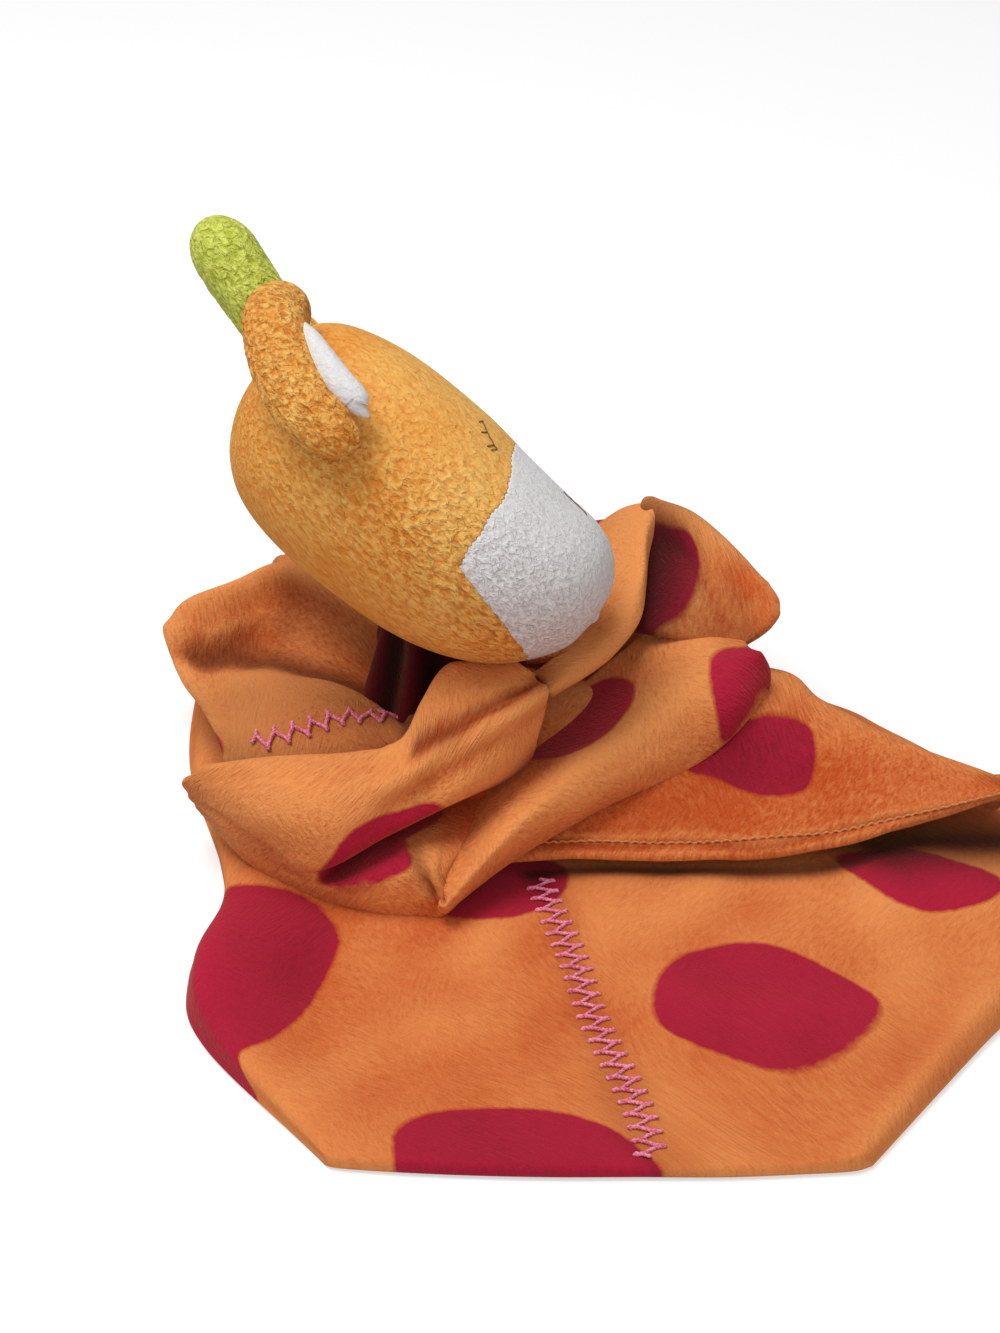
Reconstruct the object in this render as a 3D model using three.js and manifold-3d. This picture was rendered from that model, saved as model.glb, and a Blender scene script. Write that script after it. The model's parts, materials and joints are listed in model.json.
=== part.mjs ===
// A comfort blanket lovey: a stuffed animal head on a heaped square of velour.
// Millimetres, +Z up. The origin is on the table, under the middle of the heap.
import * as THREE from "three";
import { mergeVertices } from "three/addons/utils/BufferGeometryUtils.js";
import Module from "manifold-3d";

const wasm = await Module();
wasm.setup();

// Driving sizes of the heaped blanket
const heap_span = 200;
const heap_height = 50;
const cloth_thickness = 3.4;
const seat_gap = 0.3;

// Driving sizes of the head
const head_length = 110.5;
const head_depth = 63;
const head_width = 75;
const head_cover_wall = 1.8;
const head_lean = 55;
const head_droop = 36.5;

// Driving sizes of the ears, horns and threads
const ear_width = 16.5;
const ear_thickness = 11;
const ear_lining_width = 7.5;
const ear_lining_thickness = 6;
const ear_lining_offset = 10.5;
const horn_radius = 8.9;
const horn_length = 46.5;
const horn_cover_wall = 1.6;
const face_thread_radius = 0.45;
const zigzag_thread_radius = 0.45;
const zigzag_width = 9;
const zigzag_pitch = 4.8;
const hem_thread_radius = 0.5;
const thread_clearance = 0.6;

// The head's middle over the heap, as shares of the heap's span and height
const head_place_shares = [-0.1115, 0.06, 1.74];

// Shape helpers

function heapPlace([x_share, y_share, z_share]) {
  return new THREE.Vector3(x_share * heap_span, y_share * heap_span, z_share * heap_height);
}

function smoothLine(points) {
  return new THREE.CatmullRomCurve3(points, false, "catmullrom");
}

function alongLine(points, steps) {
  const line = smoothLine(points);
  return Array.from({ length: steps + 1 }, (_, i) => line.getPoint(i / steps));
}

// The direction of a line of points at one of them
function directionAt(points, i) {
  const next = points[Math.min(i + 1, points.length - 1)];
  return next.clone().sub(points[Math.max(i - 1, 0)]).normalize();
}

// A smooth cloth surface through a net of points, as rows of points from back to front
function clothGrid(net_shares, row_steps, column_steps) {
  const lines = net_shares.map((row) => alongLine(row.map(heapPlace), column_steps));
  const columns = lines[0].map((_, j) => alongLine(lines.map((line) => line[j]), row_steps));
  return columns[0].map((_, i) => columns.map((column) => column[i]));
}

function gridNormal(grid, i, j) {
  const last_row = grid.length - 1;
  const last_column = grid[0].length - 1;
  const down = grid[Math.min(i + 1, last_row)][j].clone().sub(grid[Math.max(i - 1, 0)][j]);
  const across = grid[i][Math.min(j + 1, last_column)].clone().sub(grid[i][Math.max(j - 1, 0)]);
  return down.cross(across).normalize();
}

// The grid with its edge points moved outwards, for a solid that clears this cloth
function widenedGrid(grid, reach) {
  const moved = (edge, inner) => edge.clone().add(edge.clone().sub(inner).setLength(reach));
  const last = grid.length - 1;
  return grid.map((row, i) => {
    const neighbours = i === 0 ? grid[1] : grid[last - 1];
    const line = i === 0 || i === last ? row.map((point, j) => moved(point, neighbours[j])) : row;
    const end = line.length - 1;
    return line.map((point, j) => {
      if (j === 0) return moved(point, line[1]);
      return j === end ? moved(point, line[end - 1]) : point;
    });
  });
}

function indexedGeometry(points, triangles) {
  const geometry = new THREE.BufferGeometry();
  const positions = new Float32Array(points.flatMap((point) => point.toArray()));
  geometry.setAttribute("position", new THREE.BufferAttribute(positions, 3));
  geometry.setIndex(triangles);
  return geometry;
}

// The closed body between two grids of the same size, the first one outside
function bodyBetween(outer, inner) {
  const rows = outer.length;
  const columns = outer[0].length;
  const inner_start = rows * columns;
  const outer_at = (i, j) => i * columns + j;
  const inner_at = (i, j) => inner_start + i * columns + j;
  const triangles = [];
  const wall = (i, j, k, l) => {
    triangles.push(outer_at(i, j), inner_at(i, j), outer_at(k, l));
    triangles.push(outer_at(k, l), inner_at(i, j), inner_at(k, l));
  };
  for (let i = 0; i + 1 < rows; i += 1) {
    for (let j = 0; j + 1 < columns; j += 1) {
      triangles.push(outer_at(i, j), outer_at(i + 1, j), outer_at(i, j + 1));
      triangles.push(outer_at(i, j + 1), outer_at(i + 1, j), outer_at(i + 1, j + 1));
      triangles.push(inner_at(i, j), inner_at(i, j + 1), inner_at(i + 1, j));
      triangles.push(inner_at(i, j + 1), inner_at(i + 1, j + 1), inner_at(i + 1, j));
    }
  }
  for (let j = 0; j + 1 < columns; j += 1) {
    wall(0, j + 1, 0, j);
    wall(rows - 1, j, rows - 1, j + 1);
  }
  for (let i = 0; i + 1 < rows; i += 1) {
    wall(i, 0, i + 1, 0);
    wall(i + 1, columns - 1, i, columns - 1);
  }
  return indexedGeometry([...outer.flat(), ...inner.flat()], triangles);
}

// The closed body through rings of points, with a point at each end
function loftedBody(start, rings, end) {
  const sides = rings[0].length;
  const triangles = [];
  const at = (i, k) => 1 + i * sides + (k % sides);
  const end_at = 1 + rings.length * sides;
  for (let k = 0; k < sides; k += 1) {
    triangles.push(0, at(0, k + 1), at(0, k));
    triangles.push(end_at, at(rings.length - 1, k), at(rings.length - 1, k + 1));
    for (let i = 0; i + 1 < rings.length; i += 1) {
      triangles.push(at(i, k), at(i, k + 1), at(i + 1, k));
      triangles.push(at(i, k + 1), at(i + 1, k + 1), at(i + 1, k));
    }
  }
  return indexedGeometry([start, ...rings.flat(), end], triangles);
}

// Solids, joined and cut

function solidOf(geometry) {
  const plain = geometry.clone();
  plain.deleteAttribute("normal");
  plain.deleteAttribute("uv");
  const merged = mergeVertices(plain);
  const mesh = new wasm.Mesh({
    numProp: 3,
    vertProperties: merged.attributes.position.array,
    triVerts: Uint32Array.from(merged.index.array),
  });
  return new wasm.Manifold(mesh);
}

function largestPiece(solid) {
  const pieces = solid.decompose();
  return pieces.reduce((best, piece) => (piece.volume() > best.volume() ? piece : best));
}

function cutBy(solid, cutters) {
  return largestPiece(cutters.reduce((left, cutter) => left.subtract(cutter), solid));
}

// Slivers that a cut leaves are welded away within this share of a seat gap
const weld_share = 1 / 15;
function geometryOf(solid) {
  const mesh = solid.simplify(seat_gap * weld_share).getMesh();
  const geometry = new THREE.BufferGeometry();
  geometry.setAttribute("position", new THREE.BufferAttribute(mesh.vertProperties, 3));
  geometry.setIndex(Array.from(mesh.triVerts));
  geometry.computeVertexNormals();
  return geometry;
}

function finish(color, roughness) {
  return new THREE.MeshStandardMaterial({ color, roughness, metalness: 0 });
}

const finishes = {
  velour: finish("#de7d3c", 0.9),
  head_plush: finish("#eba54b", 0.95),
  white_plush: finish("#d8d6d8", 0.95),
  green_plush: finish("#cdd75a", 0.95),
  filling: finish("#efeae0", 1),
  dark_thread: finish("#4a3024", 0.7),
  pink_thread: finish("#d76482", 0.6),
  hem_thread: finish("#b9683a", 0.7),
};

function addPiece(group, name, geometry, material) {
  const mesh = new THREE.Mesh(geometry, material);
  mesh.name = name;
  group.add(mesh);
}

// The head, in its own frame: x from crown to muzzle, y towards the face, z to its right side

const head_sides = 18;
const head_rings = 12;
// Where along the head, its back and its face there, as shares of length and depth, and its width share
const head_section_shares = [
  [-0.498, 0.03, 0.16, 0.08],
  [-0.48, -0.14, 0.31, 0.37],
  [-0.427, -0.3, 0.42, 0.64],
  [-0.338, -0.414, 0.484, 0.83],
  [-0.196, -0.477, 0.516, 0.96],
  [0, -0.492, 0.5, 1],
  [0.142, -0.477, 0.461, 0.96],
  [0.267, -0.422, 0.43, 0.88],
  [0.373, -0.328, 0.406, 0.75],
  [0.444, -0.203, 0.344, 0.59],
  [0.489, -0.08, 0.234, 0.35],
  [0.502, 0.05, 0.11, 0.08],
];
const section_line = smoothLine(
  head_section_shares.map(([x, back, face]) => new THREE.Vector3(x, back, face)),
);
const width_line = smoothLine(head_section_shares.map(([x, , , width]) => new THREE.Vector3(x, width, 0)));

// A point of the head's skin, pushed out by lift: along is 0 at the crown and 1 at the muzzle's tip
function headSkin(along, angle, lift) {
  const section = section_line.getPoint(along);
  const half_width = (width_line.getPoint(along).y * head_width) / 2 + lift;
  const middle = ((section.y + section.z) / 2) * head_depth;
  const half_depth = ((section.z - section.y) / 2) * head_depth + lift;
  const stretch = 1 + (2 * lift) / head_length;
  return new THREE.Vector3(
    section.x * head_length * stretch,
    middle + half_depth * Math.cos(angle),
    half_width * Math.sin(angle),
  );
}

function headBody(lift) {
  const rings = Array.from({ length: head_rings + 1 }, (_, i) =>
    Array.from({ length: head_sides }, (_, k) =>
      headSkin(i / head_rings, (2 * Math.PI * k) / head_sides, lift)),
  );
  const middleOf = (ring) =>
    ring.reduce((sum, point) => sum.add(point), new THREE.Vector3()).divideScalar(head_sides);
  return loftedBody(middleOf(rings[0]), rings, middleOf(rings[head_rings]));
}

// A prism across the head, from an outline in the head's x and y
function acrossHead(outline, from, to) {
  const shape = new THREE.Shape(outline.map(([x, y]) => new THREE.Vector2(x, y)));
  const prism = new THREE.ExtrudeGeometry(shape, { depth: to - from, bevelEnabled: false });
  prism.translate(0, 0, from);
  return prism;
}

const head_outer = solidOf(headBody(0));
const head_cleared = solidOf(headBody(seat_gap));
const head_shell = head_outer.subtract(solidOf(headBody(-head_cover_wall)));
const head_stuffing = solidOf(headBody(-head_cover_wall - seat_gap));

// The muzzle's seam: from the brow down across the cheek, then along the jaw, in shares of length and depth
const muzzle_seam_shares = [[0.107, 0.44], [0.168, 0.257], [0.182, -0.118], [0.5, -0.26]];
const overrun = head_length;
function muzzleOutline(inset) {
  const seam = muzzle_seam_shares.map(([x, y]) => [x * head_length + inset, y * head_depth + inset]);
  return [[seam[0][0], overrun], ...seam, [overrun, seam[seam.length - 1][1]], [overrun, overrun]];
}
const muzzle_wedge = solidOf(acrossHead(muzzleOutline(seat_gap / 2), -overrun, overrun));
const muzzle_wedge_wide = solidOf(acrossHead(muzzleOutline(-seat_gap / 2), -overrun, overrun));
const head_half_block = [
  [-overrun, -overrun],
  [overrun, -overrun],
  [overrun, overrun],
  [-overrun, overrun],
];
const right_half = solidOf(acrossHead(head_half_block, seat_gap / 2, overrun));
const left_half = solidOf(acrossHead(head_half_block, -overrun, -seat_gap / 2));
const orange_shell = head_shell.subtract(muzzle_wedge_wide);

const head = new THREE.Group();
head.position.copy(heapPlace(head_place_shares));
head.rotation.set(THREE.MathUtils.degToRad(head_lean), 0, THREE.MathUtils.degToRad(-head_droop));
head.updateMatrix();

const right_panel = largestPiece(orange_shell.intersect(right_half));
const left_panel = largestPiece(orange_shell.intersect(left_half));
const muzzle_cover = largestPiece(head_shell.intersect(muzzle_wedge));
addPiece(head, "head_stuffing", geometryOf(head_stuffing), finishes.filling);
addPiece(head, "head_right_panel", geometryOf(right_panel), finishes.head_plush);
addPiece(head, "head_left_panel", geometryOf(left_panel), finishes.head_plush);
addPiece(head, "muzzle_cover", geometryOf(muzzle_cover), finishes.white_plush);

const across_head = new THREE.Vector3(0, 0, 1);

// Rings round a path in the head's frame, each an oval with its own half width and half thickness
function ovalRings(path, flat_direction, half_widths, half_thicknesses, sides) {
  return path.map((point, i) => {
    const ahead = directionAt(path, i);
    const side = flat_direction.clone().cross(ahead).normalize();
    const out = ahead.clone().cross(side);
    return Array.from({ length: sides }, (_, k) => {
      const angle = (2 * Math.PI * k) / sides;
      return point
        .clone()
        .addScaledVector(side, half_widths[i] * Math.cos(angle))
        .addScaledVector(out, half_thicknesses[i] * Math.sin(angle));
    });
  });
}

// The same body on the head's other side
function mirroredAcross(geometry) {
  const flipped = geometry.clone();
  flipped.applyMatrix4(new THREE.Matrix4().makeScale(1, 1, -1));
  const index = Array.from(flipped.index.array);
  for (let i = 0; i < index.length; i += 3) [index[i + 1], index[i + 2]] = [index[i + 2], index[i + 1]];
  flipped.setIndex(index);
  return flipped;
}

// Horns: round stalks that swell a little towards a long rounded top, stuffed
const horn_root_shares = [-0.41, 0.19, 0.27];
const horn_tip_shares = [-0.8, 0.425, 0.31];
// How far the rounded top reaches, as a share of the horn's radius
const horn_top_share = 1.3;
const horn_root_width_share = 0.86;
// How far the rounded top's last ring is turned towards its tip, as a share of a quarter turn
const horn_last_turn_share = 0.94;
const horn_sides = 10;
const horn_stalk_rings = 3;
const horn_top_rings = 4;
function headPlace([x_share, y_share, z_share]) {
  return new THREE.Vector3(x_share * head_length, y_share * head_depth, (z_share * head_width) / 2);
}
const horn_root = headPlace(horn_root_shares);
const horn_direction = headPlace(horn_tip_shares).sub(horn_root).normalize();

function hornBody(radius, length) {
  const top_reach = radius * horn_top_share;
  const straight = length - top_reach;
  const stalk = Array.from({ length: horn_stalk_rings + 1 }, (_, i) => {
    const share = i / horn_stalk_rings;
    const width_share = horn_root_width_share + (1 - horn_root_width_share) * share;
    return { reach: straight * share, half_width: radius * width_share };
  });
  const top = Array.from({ length: horn_top_rings }, (_, i) => {
    const turn = (((i + 1) / horn_top_rings) * horn_last_turn_share * Math.PI) / 2;
    return { reach: straight + top_reach * Math.sin(turn), half_width: radius * Math.cos(turn) };
  });
  const sections = [...stalk, ...top];
  const path = sections.map(({ reach }) => horn_root.clone().addScaledVector(horn_direction, reach));
  const half_widths = sections.map(({ half_width }) => half_width);
  const rings = ovalRings(path, across_head, half_widths, half_widths, horn_sides);
  const end = horn_root.clone().addScaledVector(horn_direction, length);
  return loftedBody(horn_root, rings, end);
}
const horn_outer = hornBody(horn_radius, horn_length);
const horn_cleared = hornBody(horn_radius + seat_gap, horn_length + seat_gap);
const horn_hollow = hornBody(horn_radius - horn_cover_wall, horn_length - horn_cover_wall);
const horn_core = hornBody(
  horn_radius - horn_cover_wall - seat_gap,
  horn_length - horn_cover_wall - seat_gap,
);

// Ears: folded leaves that hang down the sides of the head, with a lining along the face side
const ear_path_shares = [
  [-0.451, 0.279, 0.45],
  [-0.506, 0.305, 0.62],
  [-0.503, 0.256, 0.8],
  [-0.452, 0.166, 0.97],
  [-0.381, 0.081, 1.08],
  [-0.299, 0.023, 1.14],
  [-0.214, 0.015, 1.16],
  [-0.158, 0.05, 1.14],
];
// Width and thickness shares along each leaf
const ear_size_shares = [
  [0.62, 0.6],
  [0.94, 0.95],
  [1, 1],
  [1, 1],
  [1, 1],
  [0.96, 1],
  [0.8, 0.8],
  [0.36, 0.36],
];
const lining_size_shares = [
  [0.3, 0.5],
  [0.72, 0.9],
  [0.94, 1],
  [1, 1],
  [0.86, 0.9],
  [0.36, 0.5],
];
const ear_lining_start_share = 0.32;
const ear_sides = 10;
const ear_rings = 9;

// A leaf beside the ear's middle line, from a share of its length to its end, pushed out by lift
function earLeaf({ start_share, offset, width, thickness, size_shares }, lift) {
  const middle = smoothLine(ear_path_shares.map(headPlace));
  const sizes = smoothLine(size_shares.map(([wide, thick]) => new THREE.Vector3(wide, thick, 0)));
  const steps = Array.from({ length: ear_rings + 1 }, (_, i) => i / ear_rings);
  const path = steps.map((step) => {
    const share = start_share + (1 - start_share) * step;
    const side = across_head.clone().cross(middle.getTangent(share)).normalize();
    return middle.getPoint(share).addScaledVector(side, offset * Math.sqrt(sizes.getPoint(step).x));
  });
  const half_widths = steps.map((step) => (sizes.getPoint(step).x * width) / 2 + lift);
  const half_thicknesses = steps.map((step) => (sizes.getPoint(step).y * thickness) / 2 + lift);
  const rings = ovalRings(path, across_head, half_widths, half_thicknesses, ear_sides);
  return loftedBody(path[0], rings, path[ear_rings]);
}

const back_leaf = {
  start_share: 0,
  offset: 0,
  width: ear_width,
  thickness: ear_thickness,
  size_shares: ear_size_shares,
};
const lining_leaf = {
  start_share: ear_lining_start_share,
  offset: ear_lining_offset,
  width: ear_lining_width,
  thickness: ear_lining_thickness,
  size_shares: lining_size_shares,
};

for (const side of ["right", "left"]) {
  const placed = (geometry) => solidOf(side === "right" ? geometry : mirroredAcross(geometry));
  const horn_shell = placed(horn_outer).subtract(placed(horn_hollow));
  const horn_filling = placed(horn_core);
  const neighbours = [head_cleared, placed(horn_cleared)];
  const lining_cleared = placed(earLeaf(lining_leaf, seat_gap));
  const ear_back = cutBy(placed(earLeaf(back_leaf, 0)), [...neighbours, lining_cleared]);
  const ear_lining = cutBy(placed(earLeaf(lining_leaf, 0)), neighbours);
  addPiece(head, `${side}_horn_cover`, geometryOf(cutBy(horn_shell, [head_cleared])), finishes.green_plush);
  addPiece(head, `${side}_horn_stuffing`, geometryOf(cutBy(horn_filling, [head_cleared])), finishes.filling);
  addPiece(head, `${side}_ear_back`, geometryOf(ear_back), finishes.head_plush);
  addPiece(head, `${side}_ear_lining`, geometryOf(ear_lining), finishes.white_plush);
}

// A thread that lies along points, each with the direction away from what it lies on
const thread_sides = 5;
function threadBody(points, outs, radius) {
  const rings = points.map((point, i) => {
    const ahead = directionAt(points, i);
    const side = outs[i].clone().cross(ahead).normalize();
    const out = ahead.clone().cross(side);
    return Array.from({ length: thread_sides }, (_, k) => {
      const angle = (2 * Math.PI * k) / thread_sides;
      return point
        .clone()
        .addScaledVector(side, radius * Math.cos(angle))
        .addScaledVector(out, radius * Math.sin(angle));
    });
  });
  return loftedBody(points[0], rings, points[points.length - 1]);
}

// Face stitching, as places along the head and round it in shares of half a turn from the face
const eye_shares = [[0.463, 0.158], [0.479, 0.189], [0.499, 0.211], [0.507, 0.215]];
const nostril_shares = [[0.633, 0.09], [0.655, 0.095], [0.681, 0.1], [0.697, 0.114]];
const stitch_steps = 8;
function faceThread(shares, side) {
  const lift = seat_gap + face_thread_radius;
  const spots = alongLine(shares.map(([along, turn]) => new THREE.Vector3(along, turn, 0)), stitch_steps);
  const skinAt = (spot, height) => headSkin(spot.x, side * spot.y * Math.PI, height);
  const points = spots.map((spot) => skinAt(spot, lift));
  const outs = spots.map((spot) => skinAt(spot, lift).sub(skinAt(spot, 0)).normalize());
  return threadBody(points, outs, face_thread_radius);
}
for (const [side, sign] of [["right", 1], ["left", -1]]) {
  addPiece(head, `${side}_eye_stitching`, faceThread(eye_shares, sign), finishes.dark_thread);
  addPiece(head, `${side}_nostril_stitching`, faceThread(nostril_shares, sign), finishes.dark_thread);
}

// The blanket. Each fold is a net of points on its outer face, rows from the back of the heap to its front
// and columns from left to right, in shares of the heap's span, span and height.

const table_layer_shares = [
  [
    [-0.45, 0.33, 0.04], [-0.36, 0.42, 0.1], [-0.175, 0.495, 0.1], [0.025, 0.525, 0.1],
    [0.225, 0.485, 0.1], [0.34, 0.36, 0.1], [0.42, 0.25, 0.12], [0.5, 0.2, 0.1], [0.53, 0.19, 0.06],
  ],
  [
    [-0.44, 0.075, 0.04], [-0.4, 0.075, 0.12], [-0.2, 0.075, 0.12], [0.025, 0.075, 0.1],
    [0.225, 0.075, 0.1], [0.425, 0.06, 0.1], [0.59, 0, 0.12], [0.7, -0.07, 0.2], [0.74, -0.075, 0.08],
  ],
  [
    [-0.365, -0.21, 0.04], [-0.345, -0.21, 0.14], [-0.2, -0.19, 0.12], [0, -0.19, 0.1],
    [0.2, -0.19, 0.1], [0.425, -0.22, 0.18], [0.575, -0.24, 0.28], [0.73, -0.25, 0.24],
    [0.77, -0.255, 0.08],
  ],
  [
    [-0.395, -0.4, 0.08], [-0.365, -0.39, 0.26], [-0.225, -0.375, 0.1], [0, -0.36, 0.09],
    [0.2, -0.36, 0.09], [0.425, -0.37, 0.1], [0.575, -0.37, 0.14], [0.67, -0.38, 0.16],
    [0.705, -0.385, 0.08],
  ],
  [
    [-0.365, -0.52, 0.04], [-0.34, -0.515, 0.16], [-0.21, -0.53, 0.08], [0, -0.52, 0.08],
    [0.19, -0.52, 0.08], [0.39, -0.52, 0.1], [0.51, -0.52, 0.1], [0.57, -0.515, 0.14],
    [0.6, -0.515, 0.06],
  ],
  [
    [-0.205, -0.725, 0.04], [-0.185, -0.735, 0.08], [-0.07, -0.745, 0.08], [0.05, -0.75, 0.08],
    [0.165, -0.75, 0.08], [0.26, -0.75, 0.08], [0.35, -0.745, 0.08], [0.41, -0.74, 0.1],
    [0.435, -0.73, 0.04],
  ],
];

const right_flap_shares = [
  [
    [0.05, 0.2, 0.18], [0.18, 0.23, 0.16], [0.33, 0.22, 0.16], [0.46, 0.11, 0.16], [0.57, 0.02, 0.18],
    [0.68, -0.09, 0.24],
  ],
  [
    [0.04, 0.14, 0.4], [0.16, 0.16, 0.36], [0.33, 0.17, 0.36], [0.46, 0.06, 0.32], [0.56, -0.03, 0.36],
    [0.69, -0.13, 0.44],
  ],
  [
    [0.025, 0.04, 0.6], [0.15, 0.06, 0.64], [0.375, 0.075, 0.66], [0.44, 0.025, 0.62],
    [0.52, -0.05, 0.6], [0.665, -0.18, 0.66],
  ],
  [
    [0, -0.09, 0.4], [0.125, -0.09, 0.4], [0.275, -0.09, 0.4], [0.44, -0.11, 0.44],
    [0.56, -0.15, 0.53], [0.67, -0.185, 0.63],
  ],
  [
    [-0.025, -0.2, 0.18], [0.095, -0.2, 0.22], [0.25, -0.21, 0.24], [0.425, -0.21, 0.32],
    [0.555, -0.195, 0.45], [0.66, -0.19, 0.6],
  ],
];

const middle_fold_shares = [
  [
    [-0.09, -0.205, 0.2], [-0.04, -0.105, 0.32], [0.03, -0.01, 0.44], [0.085, 0.045, 0.56],
    [0.17, 0.115, 0.72], [0.235, 0.155, 0.8], [0.34, 0.125, 0.8],
  ],
  [
    [-0.08, -0.27, 0.28], [-0.015, -0.18, 0.44], [0.055, -0.095, 0.52], [0.11, -0.025, 0.58],
    [0.18, 0.045, 0.7], [0.26, 0.08, 0.84], [0.345, 0.06, 0.88],
  ],
  [
    [-0.07, -0.32, 0.32], [0.015, -0.23, 0.52], [0.09, -0.155, 0.62], [0.16, -0.085, 0.68],
    [0.23, -0.03, 0.76], [0.3, 0.015, 0.84], [0.36, 0.045, 0.88],
  ],
  [
    [-0.07, -0.32, 0.24], [0.02, -0.24, 0.42], [0.11, -0.17, 0.5], [0.185, -0.11, 0.56],
    [0.26, -0.055, 0.64], [0.325, -0.015, 0.72], [0.375, 0.05, 0.76],
  ],
  [
    [-0.075, -0.29, 0.1], [0.025, -0.215, 0.24], [0.135, -0.135, 0.32], [0.215, -0.095, 0.38],
    [0.28, -0.06, 0.44], [0.335, -0.015, 0.54], [0.375, 0.04, 0.64],
  ],
];

const front_roll_shares = [
  [
    [-0.38, -0.11, 0.52], [-0.31, -0.12, 0.56], [-0.25, -0.14, 0.6], [-0.185, -0.15, 0.64],
    [-0.13, -0.13, 0.68], [-0.105, -0.065, 0.76], [-0.065, -0.025, 0.88], [0.025, -0.025, 0.96],
  ],
  [
    [-0.39, -0.145, 0.66], [-0.31, -0.165, 0.76], [-0.25, -0.17, 0.8], [-0.18, -0.175, 0.84],
    [-0.125, -0.18, 0.9], [-0.095, -0.11, 0.96], [-0.06, -0.05, 1.04], [0.025, -0.045, 1.06],
  ],
  [
    [-0.41, -0.15, 0.6], [-0.33, -0.19, 0.72], [-0.27, -0.225, 0.76], [-0.19, -0.245, 0.78],
    [-0.12, -0.23, 0.84], [-0.065, -0.17, 0.92], [0, -0.145, 0.98], [0.065, -0.09, 1.02],
  ],
  [
    [-0.425, -0.14, 0.52], [-0.35, -0.2, 0.64], [-0.295, -0.245, 0.62], [-0.205, -0.275, 0.62],
    [-0.13, -0.245, 0.72], [-0.06, -0.195, 0.8], [0.005, -0.16, 0.86], [0.065, -0.1, 0.92],
  ],
  [
    [-0.42, -0.13, 0.44], [-0.365, -0.195, 0.52], [-0.31, -0.24, 0.48], [-0.23, -0.28, 0.38],
    [-0.15, -0.255, 0.5], [-0.08, -0.23, 0.6], [0, -0.17, 0.66], [0.055, -0.11, 0.76],
  ],
  [
    [-0.42, -0.125, 0.4], [-0.37, -0.185, 0.46], [-0.315, -0.23, 0.4], [-0.235, -0.265, 0.29],
    [-0.15, -0.14, 0.34], [-0.09, -0.125, 0.36], [0, -0.11, 0.4], [0.04, -0.09, 0.5],
  ],
  [
    [-0.42, -0.115, 0.36], [-0.375, -0.18, 0.4], [-0.325, -0.22, 0.32], [-0.235, -0.27, 0.26],
    [-0.165, -0.275, 0.36], [-0.11, -0.26, 0.42], [-0.07, -0.26, 0.36], [-0.04, -0.205, 0.28],
  ],
  [
    [-0.415, -0.105, 0.3], [-0.38, -0.165, 0.34], [-0.33, -0.21, 0.24], [-0.245, -0.265, 0.2],
    [-0.16, -0.29, 0.22], [-0.09, -0.285, 0.26], [-0.07, -0.29, 0.24], [-0.045, -0.22, 0.2],
  ],
  [
    [-0.415, -0.09, 0.22], [-0.385, -0.15, 0.26], [-0.33, -0.2, 0.14], [-0.245, -0.25, 0.08],
    [-0.165, -0.28, 0.08], [-0.095, -0.29, 0.08], [-0.07, -0.285, 0.08], [-0.05, -0.26, 0.08],
  ],
];

const left_fold_shares = [
  [
    [-0.35, 0.17, 0.16], [-0.42, 0.28, 0.16], [-0.33, 0.38, 0.16], [-0.2, 0.42, 0.16],
    [-0.05, 0.42, 0.16], [0.07, 0.38, 0.16],
  ],
  [
    [-0.48, 0.23, 0.54], [-0.455, 0.255, 0.68], [-0.38, 0.27, 0.8], [-0.31, 0.275, 0.92],
    [-0.2, 0.26, 0.92], [-0.07, 0.24, 0.92],
  ],
  [
    [-0.47, 0.18, 0.5], [-0.41, 0.22, 0.6], [-0.345, 0.235, 0.68], [-0.265, 0.22, 0.72],
    [-0.18, 0.15, 0.76], [-0.095, 0.055, 0.8],
  ],
  [
    [-0.45, 0.125, 0.48], [-0.395, 0.175, 0.5], [-0.33, 0.195, 0.52], [-0.25, 0.155, 0.54],
    [-0.175, 0.115, 0.54], [-0.11, 0.03, 0.6],
  ],
  [
    [-0.42, 0.065, 0.48], [-0.37, 0.08, 0.54], [-0.305, 0.075, 0.58], [-0.235, 0.065, 0.58],
    [-0.165, 0.035, 0.56], [-0.115, -0.03, 0.6],
  ],
  [
    [-0.395, 0.005, 0.44], [-0.34, -0.02, 0.54], [-0.285, -0.015, 0.58], [-0.225, 0, 0.58],
    [-0.165, -0.025, 0.56], [-0.12, -0.08, 0.6],
  ],
  [
    [-0.38, -0.025, 0.32], [-0.33, -0.075, 0.4], [-0.27, -0.09, 0.44], [-0.21, -0.09, 0.44],
    [-0.155, -0.08, 0.44], [-0.11, -0.08, 0.48],
  ],
];

const upright_fold_shares = [
  [[0.24, 0.45, 0.12], [0.29, 0.41, 0.12], [0.33, 0.33, 0.12], [0.355, 0.26, 0.16]],
  [[0.23, 0.39, 1], [0.285, 0.36, 0.92], [0.335, 0.285, 0.8], [0.37, 0.22, 0.72]],
  [[0.205, 0.3, 1.26], [0.27, 0.285, 1.21], [0.34, 0.23, 1.08], [0.38, 0.17, 1.01]],
  [[0.205, 0.235, 1.1], [0.26, 0.225, 1.08], [0.33, 0.175, 1.02], [0.38, 0.11, 1.02]],
  [[0.2, 0.16, 0.99], [0.25, 0.155, 0.99], [0.31, 0.13, 0.97], [0.37, 0.09, 0.94]],
  [[0.185, 0.1, 0.89], [0.23, 0.09, 0.89], [0.285, 0.085, 0.85], [0.34, 0.08, 0.82]],
];

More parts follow.
